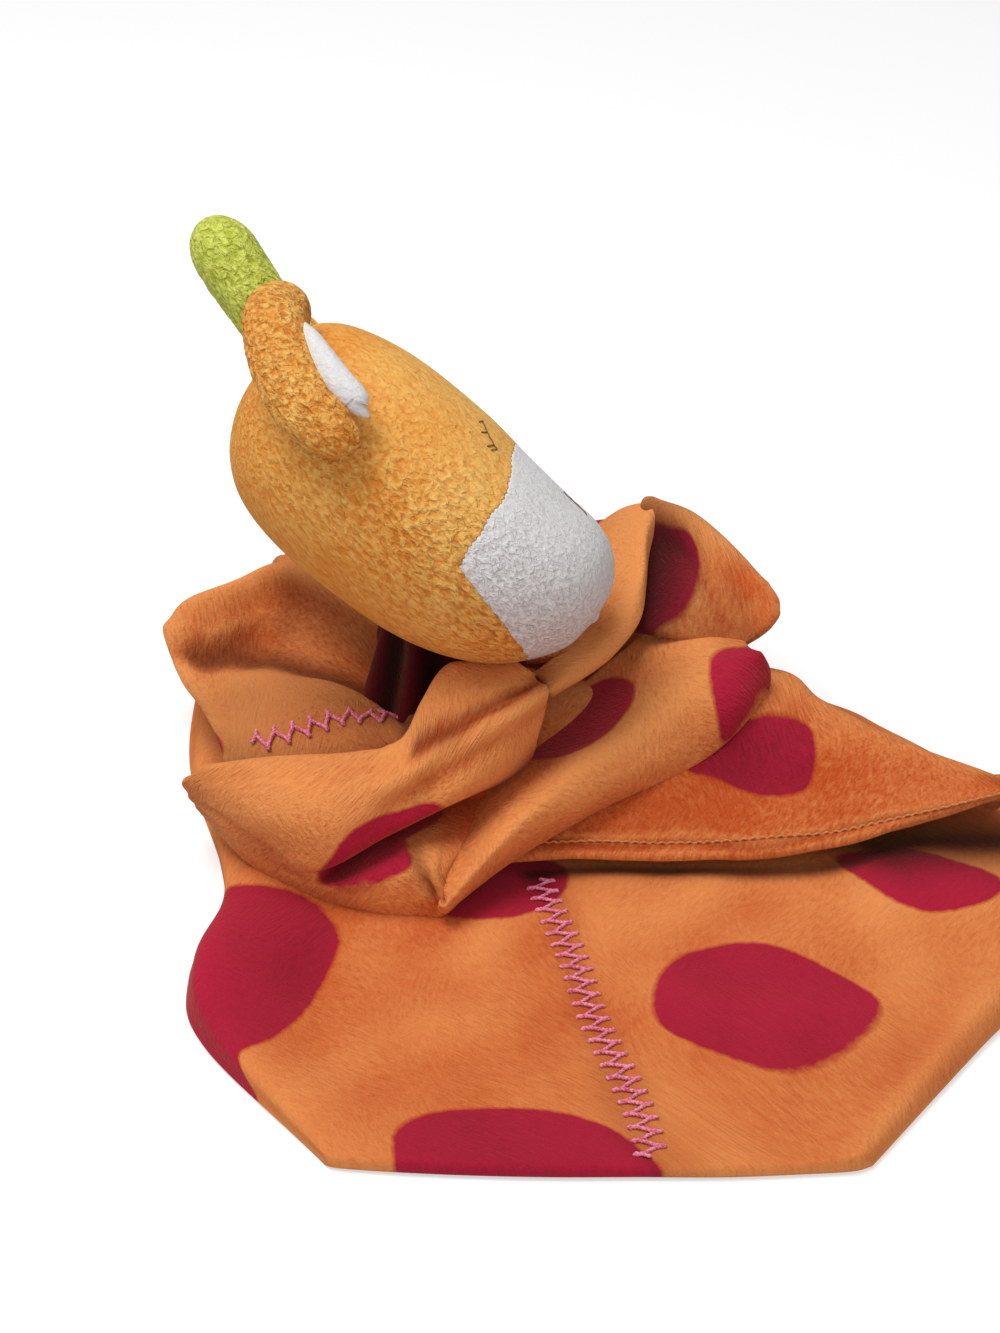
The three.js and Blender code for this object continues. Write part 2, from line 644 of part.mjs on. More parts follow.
const rolled_edge_shares = [
  [
    [0.235, 0.29, 1.17], [0.215, 0.23, 1.07], [0.205, 0.16, 0.97], [0.195, 0.09, 0.95],
    [0.16, 0.04, 0.87], [0.115, 0, 0.81], [0.07, -0.03, 0.76],
  ],
  [
    [0.22, 0.3, 1.25], [0.205, 0.225, 1.22], [0.2, 0.16, 1.14], [0.18, 0.1, 1.04], [0.155, 0.05, 0.96],
    [0.11, 0.01, 0.89], [0.065, -0.04, 0.85],
  ],
  [
    [0.18, 0.32, 1.18], [0.16, 0.25, 1.13], [0.15, 0.18, 1.06], [0.145, 0.11, 0.99],
    [0.125, 0.06, 0.95], [0.085, 0.02, 0.91], [0.05, 0, 0.85],
  ],
  [
    [0.14, 0.33, 1.04], [0.13, 0.25, 1], [0.12, 0.18, 0.98], [0.12, 0.11, 0.92], [0.095, 0.06, 0.92],
    [0.065, 0.02, 0.89], [0.04, 0, 0.85],
  ],
];

const back_fold_shares = [
  [[-0.36, 0.44, 0.08], [-0.18, 0.5, 0.08], [0.02, 0.52, 0.08], [0.23, 0.47, 0.08]],
  [[-0.35, 0.4, 0.52], [-0.17, 0.45, 0.52], [0.01, 0.47, 0.52], [0.2, 0.42, 0.68]],
  [[-0.32, 0.3, 0.84], [-0.16, 0.34, 0.92], [0, 0.35, 0.92], [0.17, 0.31, 1.08]],
  [[-0.3, 0.17, 0.4], [-0.175, 0.19, 0.36], [0, 0.21, 0.36], [0.14, 0.22, 0.4]],
];

function clothBody(layer, lift) {
  const plain = clothGrid(layer.net, layer.rows, layer.columns);
  const grid = lift > 0 ? widenedGrid(plain, lift) : plain;
  const offset = (distance) =>
    grid.map((row, i) =>
      row.map((point, j) => point.clone().addScaledVector(gridNormal(grid, i, j), distance)),
    );
  return solidOf(bodyBetween(offset(lift), offset(-cloth_thickness - lift)));
}

// The layer on the table is solid down to it, flat underneath
function tableLayerBody(layer, lift) {
  const plain = clothGrid(layer.net, layer.rows, layer.columns);
  const grid = lift > 0 ? widenedGrid(plain, lift) : plain;
  const top = grid.map((row) => row.map((point) => new THREE.Vector3(point.x, point.y, point.z + lift)));
  const bottom = grid.map((row) => row.map((point) => new THREE.Vector3(point.x, point.y, 0)));
  return solidOf(bodyBetween(top, bottom));
}

// The gathered centre: pleats that rise to the neck
const gather_place_shares = [-0.075, 0.11];
const gather_foot_radius = 26;
const gather_neck_radius = 15;
const gather_pleats = 6;
const gather_pleat_depth = 2.4;
const gather_height_share = 1.3;
const gather_neck_pleat_share = 0.5;
const gather_sides = 18;
const gather_rings = 2;
function gatherBody() {
  const height = heap_height * gather_height_share;
  const centre = (z) => heapPlace([...gather_place_shares, 0]).setZ(z);
  const rings = Array.from({ length: gather_rings + 1 }, (_, i) => {
    const share = i / gather_rings;
    const ease = share * share * (3 - 2 * share);
    const radius = gather_foot_radius + (gather_neck_radius - gather_foot_radius) * ease;
    const pleat_depth = gather_pleat_depth * (1 - (1 - gather_neck_pleat_share) * share);
    return Array.from({ length: gather_sides }, (_, k) => {
      const angle = (2 * Math.PI * k) / gather_sides;
      const pleated = radius + pleat_depth * Math.cos(gather_pleats * angle);
      const out = new THREE.Vector3(pleated * Math.cos(angle), pleated * Math.sin(angle), 0);
      return centre(height * share).add(out);
    });
  });
  return solidOf(loftedBody(centre(0), rings, centre(height)));
}

const cloth_layers = [
  { name: "blanket_table_layer", net: table_layer_shares, rows: 10, columns: 13 },
  { name: "blanket_right_flap", net: right_flap_shares, rows: 7, columns: 10 },
  { name: "blanket_middle_fold", net: middle_fold_shares, rows: 11, columns: 9 },
  { name: "blanket_front_roll", net: front_roll_shares, rows: 14, columns: 10 },
  { name: "blanket_left_fold", net: left_fold_shares, rows: 9, columns: 9 },
  { name: "blanket_upright_fold", net: upright_fold_shares, rows: 7, columns: 6 },
  { name: "blanket_rolled_edge", net: rolled_edge_shares, rows: 5, columns: 10 },
  { name: "blanket_back_fold", net: back_fold_shares, rows: 5, columns: 7 },
];

const blanket = new THREE.Group();
const head_in_heap = solidOf(headBody(seat_gap).applyMatrix4(head.matrix));
const cleared = [head_in_heap];
for (const layer of cloth_layers) {
  const makeBody = layer.net === table_layer_shares ? tableLayerBody : clothBody;
  const cloth = layer.net === table_layer_shares ? makeBody(layer, 0) : cutBy(makeBody(layer, 0), cleared);
  addPiece(blanket, layer.name, geometryOf(cloth), finishes.velour);
  cleared.push(makeBody(layer, seat_gap).add(makeBody(layer, 0)));
}

// Threads on the cloth

function clothPoint(net_shares, row_share, column_share) {
  const across = net_shares.map((row) => smoothLine(row.map(heapPlace)).getPoint(column_share));
  return smoothLine(across).getPoint(row_share);
}

function clothOut(net_shares, row_share, column_share) {
  const step_share = 0.01;
  const down = clothPoint(net_shares, Math.min(row_share + step_share, 1), column_share)
    .sub(clothPoint(net_shares, row_share - step_share, column_share));
  const across = clothPoint(net_shares, row_share, column_share + step_share)
    .sub(clothPoint(net_shares, row_share, column_share - step_share));
  return down.cross(across).normalize();
}

function threadOnCloth(net_shares, line_shares, steps, radius, swing) {
  const spots = alongLine(line_shares.map(([row, column]) => new THREE.Vector3(row, column, 0)), steps);
  const lift = thread_clearance + radius;
  const outs = spots.map((spot) => clothOut(net_shares, spot.x, spot.y));
  const middles = spots.map((spot) => clothPoint(net_shares, spot.x, spot.y));
  const points = middles.map((middle, i) => {
    const side = outs[i].clone().cross(directionAt(middles, i));
    const turn = i % 4 < 2 ? 1 : -1;
    return middle.clone().addScaledVector(outs[i], lift).addScaledVector(side, (turn * swing) / 2);
  });
  return threadBody(points, outs, radius);
}

function lineLength(net_shares, line_shares) {
  const points = line_shares.map(([row, column]) => clothPoint(net_shares, row, column));
  return smoothLine(points).getLength();
}

const front_zigzag_shares = [[0.42, 0.409], [0.6, 0.431], [0.8, 0.458], [0.985, 0.51]];
const left_zigzag_shares = [[0.885, 0.2], [0.868, 0.4], [0.842, 0.6], [0.76, 0.8]];
const hem_line_shares = [[0.95, 0.18], [0.95, 0.4], [0.95, 0.6], [0.95, 0.8], [0.95, 0.98]];

// Each turn of a zigzag is two points on the same side of its line
function zigzagOn(net_shares, line_shares) {
  const turns = Math.round(lineLength(net_shares, line_shares) / (zigzag_pitch / 2));
  return threadOnCloth(net_shares, line_shares, turns * 2, zigzag_thread_radius, zigzag_width);
}
const hem_steps = 24;
const threads = {
  front_zigzag_thread: [zigzagOn(table_layer_shares, front_zigzag_shares), finishes.pink_thread],
  left_zigzag_thread: [zigzagOn(left_fold_shares, left_zigzag_shares), finishes.pink_thread],
  flap_hem_topstitch: [
    threadOnCloth(right_flap_shares, hem_line_shares, hem_steps, hem_thread_radius, 0),
    finishes.hem_thread,
  ],
};
for (const [name, [thread, material]] of Object.entries(threads)) {
  const laid = cutBy(solidOf(thread), cleared);
  addPiece(blanket, name, geometryOf(laid), material);
  cleared.push(laid);
}

addPiece(blanket, "blanket_neck_gather", geometryOf(cutBy(gatherBody(), cleared)), finishes.velour);

// The whole, set with the middle of its box over the origin
const lovey = new THREE.Group();
lovey.add(blanket, head);
lovey.updateMatrixWorld(true);
const box = new THREE.Box3().setFromObject(lovey);
const middle = box.getCenter(new THREE.Vector3());
lovey.position.set(-middle.x, -middle.y, -box.min.z);

export default lovey;
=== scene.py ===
"""Comfort blanket lovey: a stuffed animal head gathered onto a heaped square of spotted velour.

Metres, +Z up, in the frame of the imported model. The blanket is made fold by fold, each as a fine double-layer
cloth through a net of points, and the head, ears and horns as plush covers over their filling.
"""

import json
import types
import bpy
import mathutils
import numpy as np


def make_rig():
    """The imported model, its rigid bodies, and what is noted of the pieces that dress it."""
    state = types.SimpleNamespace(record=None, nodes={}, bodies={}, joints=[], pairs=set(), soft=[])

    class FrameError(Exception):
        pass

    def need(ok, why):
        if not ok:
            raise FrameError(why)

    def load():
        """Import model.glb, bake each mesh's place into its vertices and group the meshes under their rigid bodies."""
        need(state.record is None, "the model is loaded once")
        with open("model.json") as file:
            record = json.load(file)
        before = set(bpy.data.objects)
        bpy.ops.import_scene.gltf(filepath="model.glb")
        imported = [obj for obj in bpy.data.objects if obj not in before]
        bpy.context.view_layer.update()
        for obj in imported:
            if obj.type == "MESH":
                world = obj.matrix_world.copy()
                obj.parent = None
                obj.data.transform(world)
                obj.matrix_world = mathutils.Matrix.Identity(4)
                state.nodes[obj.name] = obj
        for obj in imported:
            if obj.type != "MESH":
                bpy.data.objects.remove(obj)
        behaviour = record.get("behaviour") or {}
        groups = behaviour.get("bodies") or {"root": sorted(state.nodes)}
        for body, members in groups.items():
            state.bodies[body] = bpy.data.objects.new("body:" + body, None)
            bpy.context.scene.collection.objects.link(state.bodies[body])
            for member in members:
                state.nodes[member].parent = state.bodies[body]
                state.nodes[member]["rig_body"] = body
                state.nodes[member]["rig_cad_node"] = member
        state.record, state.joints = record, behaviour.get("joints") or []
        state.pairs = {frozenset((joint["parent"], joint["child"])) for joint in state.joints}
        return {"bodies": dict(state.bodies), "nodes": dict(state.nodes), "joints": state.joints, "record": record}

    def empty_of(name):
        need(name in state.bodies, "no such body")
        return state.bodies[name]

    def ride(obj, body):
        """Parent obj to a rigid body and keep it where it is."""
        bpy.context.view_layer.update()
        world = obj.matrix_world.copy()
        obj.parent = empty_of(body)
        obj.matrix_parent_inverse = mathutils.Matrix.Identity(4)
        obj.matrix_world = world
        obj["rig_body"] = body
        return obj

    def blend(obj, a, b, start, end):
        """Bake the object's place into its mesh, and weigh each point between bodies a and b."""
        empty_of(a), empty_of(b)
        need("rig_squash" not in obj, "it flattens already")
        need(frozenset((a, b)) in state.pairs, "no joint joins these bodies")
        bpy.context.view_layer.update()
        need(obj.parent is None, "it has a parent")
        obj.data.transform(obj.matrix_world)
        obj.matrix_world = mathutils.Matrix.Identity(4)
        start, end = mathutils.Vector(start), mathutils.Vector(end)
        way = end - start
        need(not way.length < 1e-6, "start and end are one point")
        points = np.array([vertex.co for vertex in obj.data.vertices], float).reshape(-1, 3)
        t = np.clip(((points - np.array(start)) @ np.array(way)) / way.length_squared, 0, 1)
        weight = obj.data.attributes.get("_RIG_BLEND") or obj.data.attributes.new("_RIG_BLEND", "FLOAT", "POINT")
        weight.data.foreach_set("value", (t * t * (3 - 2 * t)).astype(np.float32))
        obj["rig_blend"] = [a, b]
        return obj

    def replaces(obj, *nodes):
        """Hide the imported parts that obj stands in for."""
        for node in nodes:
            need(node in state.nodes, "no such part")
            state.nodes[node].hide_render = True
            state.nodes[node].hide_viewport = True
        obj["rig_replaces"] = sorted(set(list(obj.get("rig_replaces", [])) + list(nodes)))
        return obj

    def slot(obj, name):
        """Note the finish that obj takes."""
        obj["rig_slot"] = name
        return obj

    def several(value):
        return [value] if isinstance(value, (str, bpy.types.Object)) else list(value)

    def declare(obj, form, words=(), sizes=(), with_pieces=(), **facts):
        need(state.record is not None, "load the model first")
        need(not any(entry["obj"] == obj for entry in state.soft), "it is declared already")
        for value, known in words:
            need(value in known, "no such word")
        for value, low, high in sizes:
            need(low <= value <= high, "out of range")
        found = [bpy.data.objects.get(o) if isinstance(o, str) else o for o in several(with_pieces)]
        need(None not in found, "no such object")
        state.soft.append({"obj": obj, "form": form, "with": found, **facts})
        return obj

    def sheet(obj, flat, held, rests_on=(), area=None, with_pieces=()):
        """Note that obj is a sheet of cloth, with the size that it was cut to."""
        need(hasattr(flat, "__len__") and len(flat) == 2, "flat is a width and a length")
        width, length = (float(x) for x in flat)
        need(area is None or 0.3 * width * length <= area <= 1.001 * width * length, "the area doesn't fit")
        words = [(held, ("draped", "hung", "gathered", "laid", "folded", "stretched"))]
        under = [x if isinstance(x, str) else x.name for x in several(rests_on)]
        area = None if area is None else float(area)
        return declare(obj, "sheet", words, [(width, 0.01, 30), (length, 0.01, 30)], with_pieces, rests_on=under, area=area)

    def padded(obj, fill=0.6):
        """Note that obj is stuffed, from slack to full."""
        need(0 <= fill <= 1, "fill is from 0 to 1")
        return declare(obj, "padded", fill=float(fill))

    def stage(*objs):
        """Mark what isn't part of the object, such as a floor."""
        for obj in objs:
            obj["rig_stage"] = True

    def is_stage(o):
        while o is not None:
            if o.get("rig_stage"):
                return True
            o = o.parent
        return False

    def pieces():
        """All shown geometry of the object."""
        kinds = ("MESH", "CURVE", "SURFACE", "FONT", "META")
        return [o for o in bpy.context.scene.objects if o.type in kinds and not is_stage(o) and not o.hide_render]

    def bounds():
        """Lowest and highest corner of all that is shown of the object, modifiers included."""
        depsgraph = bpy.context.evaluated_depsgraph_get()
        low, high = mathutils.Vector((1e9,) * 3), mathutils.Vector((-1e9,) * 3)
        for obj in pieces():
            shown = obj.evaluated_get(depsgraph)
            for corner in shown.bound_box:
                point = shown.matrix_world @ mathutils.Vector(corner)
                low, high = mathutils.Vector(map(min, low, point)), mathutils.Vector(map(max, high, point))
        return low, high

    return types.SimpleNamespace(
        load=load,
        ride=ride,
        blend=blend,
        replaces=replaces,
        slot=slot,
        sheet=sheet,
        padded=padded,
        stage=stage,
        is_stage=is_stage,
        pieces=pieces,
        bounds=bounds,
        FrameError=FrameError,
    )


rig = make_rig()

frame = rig.load()

import json
import logging
import math
from dataclasses import dataclass
from enum import Enum

import bmesh
import bpy
import numpy as np
from mathutils import Vector

log = logging.getLogger("lovey")
Array = np.ndarray
Shares = tuple[tuple[float, float], ...]
Place = tuple[float, float, float]

MM = 0.001
# Seams and poles closer than this become one vertex
MERGE_DISTANCE = MM / 1000
CAD_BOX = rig.bounds()
SIZE_FILE = "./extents.json"

# Driving sizes of the heap and the head, as in the model
HEAP_SPAN = 200 * MM
HEAP_HEIGHT = 50 * MM
HEAP_SHIFT = np.array([-28.48, 22.57, 0]) * MM
CLOTH_THICKNESS = 3.4 * MM
HEAD_LENGTH = 110.5 * MM
HEAD_DEPTH = 63 * MM
HEAD_WIDTH = 75 * MM
HEAD_COVER_WALL = 1.8 * MM
HEAD_LEAN = math.radians(55)
HEAD_DROOP = math.radians(-36.5)
HEAD_PLACE_SHARES = (-0.1115, 0.06, 1.74)


# Surfaces worked out with numpy


def smooth_through(points: Array, count: int | Array, axis: int) -> Array:
    """Runs a smooth line through rows of points.

    Catmull-Rom: between points b and c the line is 0.5 * (2b + (c-a)t + (2a-5b+4c-d)t^2 + (3b-a-3c+d)t^3),
    with the line's ends continued straight.

    Args:
        points: The points, any shape, the line running along one axis.
        count: How many evenly spaced points to return, or an array of places from 0 to 1.
        axis: The axis that the line runs along.

    Returns:
        The points of the line in place of the given ones.
    """
    line = np.moveaxis(points, axis, 0)
    padded = np.concatenate([[2 * line[0] - line[1]], line, [2 * line[-1] - line[-2]]])
    shares = np.linspace(0, 1, count) if isinstance(count, int) else np.asarray(count)
    place = np.clip(shares, 0, 1) * (len(line) - 1)
    first = np.minimum(place.astype(int), len(line) - 2)
    t = (place - first).reshape((-1,) + (1,) * (line.ndim - 1))
    a, b, c, d = (padded[first + k] for k in range(4))
    bend, twist = 2 * a - 5 * b + 4 * c - d, 3 * b - a - 3 * c + d
    return np.moveaxis(0.5 * (2 * b + (c - a) * t + bend * t**2 + twist * t**3), 0, axis)


def relaxed(grid: Array, passes: int) -> Array:
    """Evens out a grid: each inner point moves half way to the mean of its four neighbours, again and again.

    Args:
        grid: Rows by columns of points.
        passes: How many times the points move.

    Returns:
        The softened grid, its border unchanged.
    """
    soft = grid.copy()
    for _ in range(passes):
        around = soft[:-2, 1:-1] + soft[2:, 1:-1] + soft[1:-1, :-2] + soft[1:-1, 2:]
        soft[1:-1, 1:-1] += 0.5 * (around / 4 - soft[1:-1, 1:-1])
    return soft


def unit(vectors: Array) -> Array:
    """Vectors along the last axis, made one long."""
    return vectors / np.maximum(np.linalg.norm(vectors, axis=-1, keepdims=True), 1e-12)


def grid_normals(grid: Array) -> Array:
    """Unit normals of a grid: the cross product of its slope down the rows with its slope along them."""
    return unit(np.cross(np.gradient(grid, axis=0), np.gradient(grid, axis=1)))


def run_lengths(points: Array, axis: int = 0) -> Array:
    """How far each point lies from its line's start, measured along the line, which runs along one axis."""
    steps = np.cumsum(np.linalg.norm(np.diff(points, axis=axis), axis=-1), axis=axis)
    return np.concatenate([np.zeros_like(steps.take([0], axis=axis)), steps], axis=axis)


def crowded(count: int) -> Array:
    """Places from 0 to 1 that lie close together near both ends: (1 - cos of an evenly growing angle) / 2."""
    return 0.5 - 0.5 * np.cos(np.linspace(0, math.pi, count))


def soft_noise(points: Array, wavelength: float, seed: int, waves: int = 28) -> Array:
    """A smooth random field: the sum of plane sine waves in random directions, scaled to about -1 to 1.

    Args:
        points: Places, with the coordinate on the last axis.
        wavelength: The length of the waves, give or take a quarter.
        seed: Makes the field the same each time.
        waves: How many waves are summed.

    Returns:
        One value for each place.
    """
    chance = np.random.default_rng(seed)
    directions = chance.normal(size=(waves, points.shape[-1]))
    turns = 2 * math.pi / (wavelength * chance.uniform(0.75, 1.25, size=(waves, 1)))
    phases = chance.uniform(0, 2 * math.pi, size=waves)
    flat = points.reshape(-1, points.shape[-1])
    field = np.sin(flat @ (unit(directions) * turns).T + phases).sum(axis=1)
    return (field / math.sqrt(waves)).reshape(points.shape[:-1])


def to_segments(places: Array, corners: Array) -> tuple[Array, Array, Array]:
    """Offsets from places to the nearest points of segments between successive corners.

    Args:
        places: Places in the plane, flat, by 2.
        corners: The corners, by 2.

    Returns:
        The distances (places by segments), the segments' starts and their directions.
    """
    starts = corners[:-1]
    edges = corners[1:] - starts
    offsets = places[:, None, :] - starts[None]
    along = np.clip((offsets * edges).sum(-1) / np.maximum((edges**2).sum(-1), 1e-18), 0, 1)
    return np.linalg.norm(offsets - along[..., None] * edges, axis=-1), starts, edges


def distance_to_line(places: Array, line: Array) -> Array:
    """The distance from each place in the plane to the nearest point of a line of straight pieces."""
    distances, _, _ = to_segments(places.reshape(-1, 2), line)
    return distances.min(axis=1).reshape(places.shape[:-1])


def distance_to_outline(places: Array, outline: Array) -> Array:
    """The distance from each place in the plane to a closed outline, negative inside it.

    A place is inside when a ray from it crosses the outline an odd number of times.

    Args:
        places: Places in the plane, any shape by 2.
        outline: The outline's corners, by 2.

    Returns:
        The distance of each place.
    """
    flat = places.reshape(-1, 2)
    closed = np.concatenate([outline, outline[:1]])
    distances, starts, edges = to_segments(flat, closed)
    ends = starts + edges
    above = (starts[None, :, 1] > flat[:, None, 1]) != (ends[None, :, 1] > flat[:, None, 1])
    rise = np.where(np.abs(edges[:, 1]) < 1e-15, 1e-15, edges[:, 1])
    crossing = starts[:, 0] + (flat[:, None, 1] - starts[:, 1]) * edges[:, 0] / rise
    inside = (above & (flat[:, None, 0] < crossing)).sum(axis=1) % 2 == 1
    return (distances.min(axis=1) * np.where(inside, -1, 1)).reshape(places.shape[:-1])


def rounded_outline(corners: Array, points: int = 64) -> Array:
    """A closed smooth outline through its corners.

    Args:
        corners: The corners, by 2.
        points: How many points to return, evenly spaced from corner to corner.

    Returns:
        The outline's points, by 2.
    """
    wrapped = np.concatenate([corners[-2:], corners, corners[:3]])
    first = 2 / (len(wrapped) - 1)
    last = (2 + len(corners)) / (len(wrapped) - 1)
    places = first + (last - first) * np.arange(points) / points
    return smooth_through(wrapped, places, 0)


def rim_shares(length: float, rim: float, count: int, steps: int = 6) -> Array:
    """Places from 0 to 1 along a cloth, close together where its edge rounds over.

    Inside each rim the places follow 1 - cos of an evenly growing angle, and between the rims they are even.

    Args:
        length: The cloth's length.
        rim: How far in the rounding reaches.
        count: How many places lie between the rims.
        steps: How many places lie in each rim.

    Returns:
        The places, in order.
    """
    turn = np.linspace(0, math.pi / 2, steps + 1)
    edge = (rim / length) * (1 - np.cos(turn))
    between = np.linspace(edge[-1], 1 - edge[-1], count)
    return np.concatenate([edge[:-1], between, (1 - edge[:-1])[::-1]])


def rounding(distance: Array, rim: float) -> Array:
    """How full a rounded edge is, from 0 on it to 1 past the rim: a quarter circle over the distance."""
    return np.sqrt(np.clip(1 - (1 - np.clip(distance / rim, 0, 1)) ** 2, 0, 1))


# Meshes


def mesh_object(name: str, vertices: Array, faces: Array, uv: Array | None,
                values: dict[str, Array]) -> bpy.types.Object:
    """Puts arrays into a new object's mesh, closes its seams and poles and points its faces outwards.

    Args:
        name: The object's name.
        vertices: Points, by 3.
        faces: Quads, by 4 indices.
        uv: A place in the plane for each vertex, or None.
        values: Named numbers, one for each vertex.

    Returns:
        The object, linked to the scene.
    """
    mesh = bpy.data.meshes.new(name)
    mesh.vertices.add(len(vertices))
    mesh.vertices.foreach_set("co", np.ascontiguousarray(vertices, dtype=np.float32).ravel())
    mesh.loops.add(faces.size)
    mesh.loops.foreach_set("vertex_index", np.ascontiguousarray(faces, dtype=np.int32).ravel())
    mesh.polygons.add(len(faces))
    mesh.polygons.foreach_set("loop_start", np.arange(0, faces.size, 4, dtype=np.int32))
    mesh.update(calc_edges=True)
    if uv is not None:
        layer = mesh.uv_layers.new(name="UVMap")
        layer.data.foreach_set("uv", np.ascontiguousarray(uv[faces.ravel()], dtype=np.float32).ravel())
    for key, numbers in values.items():
        attribute = mesh.attributes.new(key, "FLOAT", "POINT")
        attribute.data.foreach_set("value", np.ascontiguousarray(numbers, dtype=np.float32))
    shell = bmesh.new()
    shell.from_mesh(mesh)
    bmesh.ops.remove_doubles(shell, verts=shell.verts, dist=MERGE_DISTANCE)
    bmesh.ops.recalc_face_normals(shell, faces=shell.faces)
    shell.to_mesh(mesh)
    shell.free()
    mesh.polygons.foreach_set("use_smooth", np.ones(len(mesh.polygons), dtype=bool))
    piece = bpy.data.objects.new(name, mesh)
    bpy.context.scene.collection.objects.link(piece)
    return piece


def grid_faces(index: Array) -> Array:
    """Quads between neighbours in a grid of vertex numbers, turned along the rows first."""
    corners = (index[:-1, :-1], index[1:, :-1], index[1:, 1:], index[:-1, 1:])
    return np.stack(corners, axis=-1).reshape(-1, 4)


def closed_sheet(name: str, outer: Array, inner: Array, uv: Array | None,
                 values: dict[str, Array]) -> bpy.types.Object:
    """A thin closed body between two grids whose borders meet.

    Args:
        name: The object's name.
        outer: Rows by columns of points on the outside.
        inner: The same on the inside.
        uv: Rows by columns of places in the plane, used on both sides.
        values: Named numbers, rows by columns, used on both sides.

    Returns:
        The object.
    """
    rows, columns = outer.shape[:2]
    front = np.arange(rows * columns).reshape(rows, columns)
    back = front + rows * columns
    faces = np.concatenate([grid_faces(front), grid_faces(back)[:, ::-1]])
    vertices = np.concatenate([outer.reshape(-1, 3), inner.reshape(-1, 3)])
    flat = None if uv is None else np.concatenate([uv.reshape(-1, 2)] * 2)
    numbers = {key: np.concatenate([value.ravel()] * 2) for key, value in values.items()}
    return mesh_object(name, vertices, faces, flat, numbers)


def closed_tubes(name: str, tubes: list[Array], values: dict[str, Array] | None = None) -> bpy.types.Object:
    """Closed bodies through rings of points, each drawn together to a point at its ends, as one object.

    Args:
        name: The object's name.
        tubes: Rings by sides of points, for each body.
        values: Named numbers, rings by sides, where there is one body.

    Returns:
        The object.
    """
    vertices, faces, start = [], [], 0
    for rings in tubes:
        ends = [np.broadcast_to(end.mean(axis=0), end.shape)[None] for end in (rings[0], rings[-1])]
        points = np.concatenate([ends[0], rings, ends[1]])
        index = start + np.arange(points.shape[0] * points.shape[1]).reshape(points.shape[:2])
        faces.append(grid_faces(np.concatenate([index, index[:, :1]], axis=1)))
        vertices.append(points.reshape(-1, 3))
        start += len(vertices[-1])
    both_ends = ((1, 1), (0, 0))
    numbers = {key: np.pad(value, both_ends, mode="edge").ravel() for key, value in (values or {}).items()}
    return mesh_object(name, np.concatenate(vertices), np.concatenate(faces), None, numbers)


def rings_round(path: Array, out: Array, half_width: Array | float, half_depth: Array | float,
                sides: int) -> Array:
    """Rings round a path: each point + half width * cos * side + half depth * sin * up.

    Side is square to out and to the path, and up is square to side and the path.

    Args:
        path: Points by 3.
        out: Roughly the direction of up, for each point or for all.
        half_width: How far a ring reaches to the side, for each point or for all.
        half_depth: How far it reaches upwards.
        sides: Points in a ring.

    Returns:
        Rings by sides of points.
    """
    ahead = unit(np.gradient(path, axis=0))
    side = unit(np.cross(out, ahead))
    up = np.cross(ahead, side)
    turn = np.linspace(0, 2 * math.pi, sides, endpoint=False)[:, None]
    wide = np.reshape(half_width, (-1, 1, 1)) * np.cos(turn) * side[:, None]
    deep = np.reshape(half_depth, (-1, 1, 1)) * np.sin(turn) * up[:, None]
    return path[:, None] + wide + deep


# Finishes

Colour = tuple[int, int, int]
Steps = tuple[float, float]
Socket = bpy.types.NodeSocket

# The size of the patches of a noise of scale 1, and the octaves of noise in it
NOISE_PATCH = 0.5
NOISE_DETAIL = 2.0
NOISE_MEAN = 0.5
# How full plush is between its curls' tops and its gaps, where it lies on the plain skin
CURL_MEAN = 0.8
SPECULAR = 0.2
SHEEN_ROUGHNESS = 0.45
FALLING = (1.0, 0.0)


def linear(colour: Colour) -> tuple[float, float, float, float]:
    """A colour written in 0 to 255 as the shader takes it.

    Each value v, as a share of 255, becomes ((v + 0.055) / 1.055) ** 2.4, or v / 12.92 when dark.

    Args:
        colour: The colour.

    Returns:
        Red, green, blue and alpha.
    """
    value = np.array(colour) / 255
    straight = np.where(value <= 0.04045, value / 12.92, ((value + 0.055) / 1.055) ** 2.4)
    return (*straight.tolist(), 1.0)


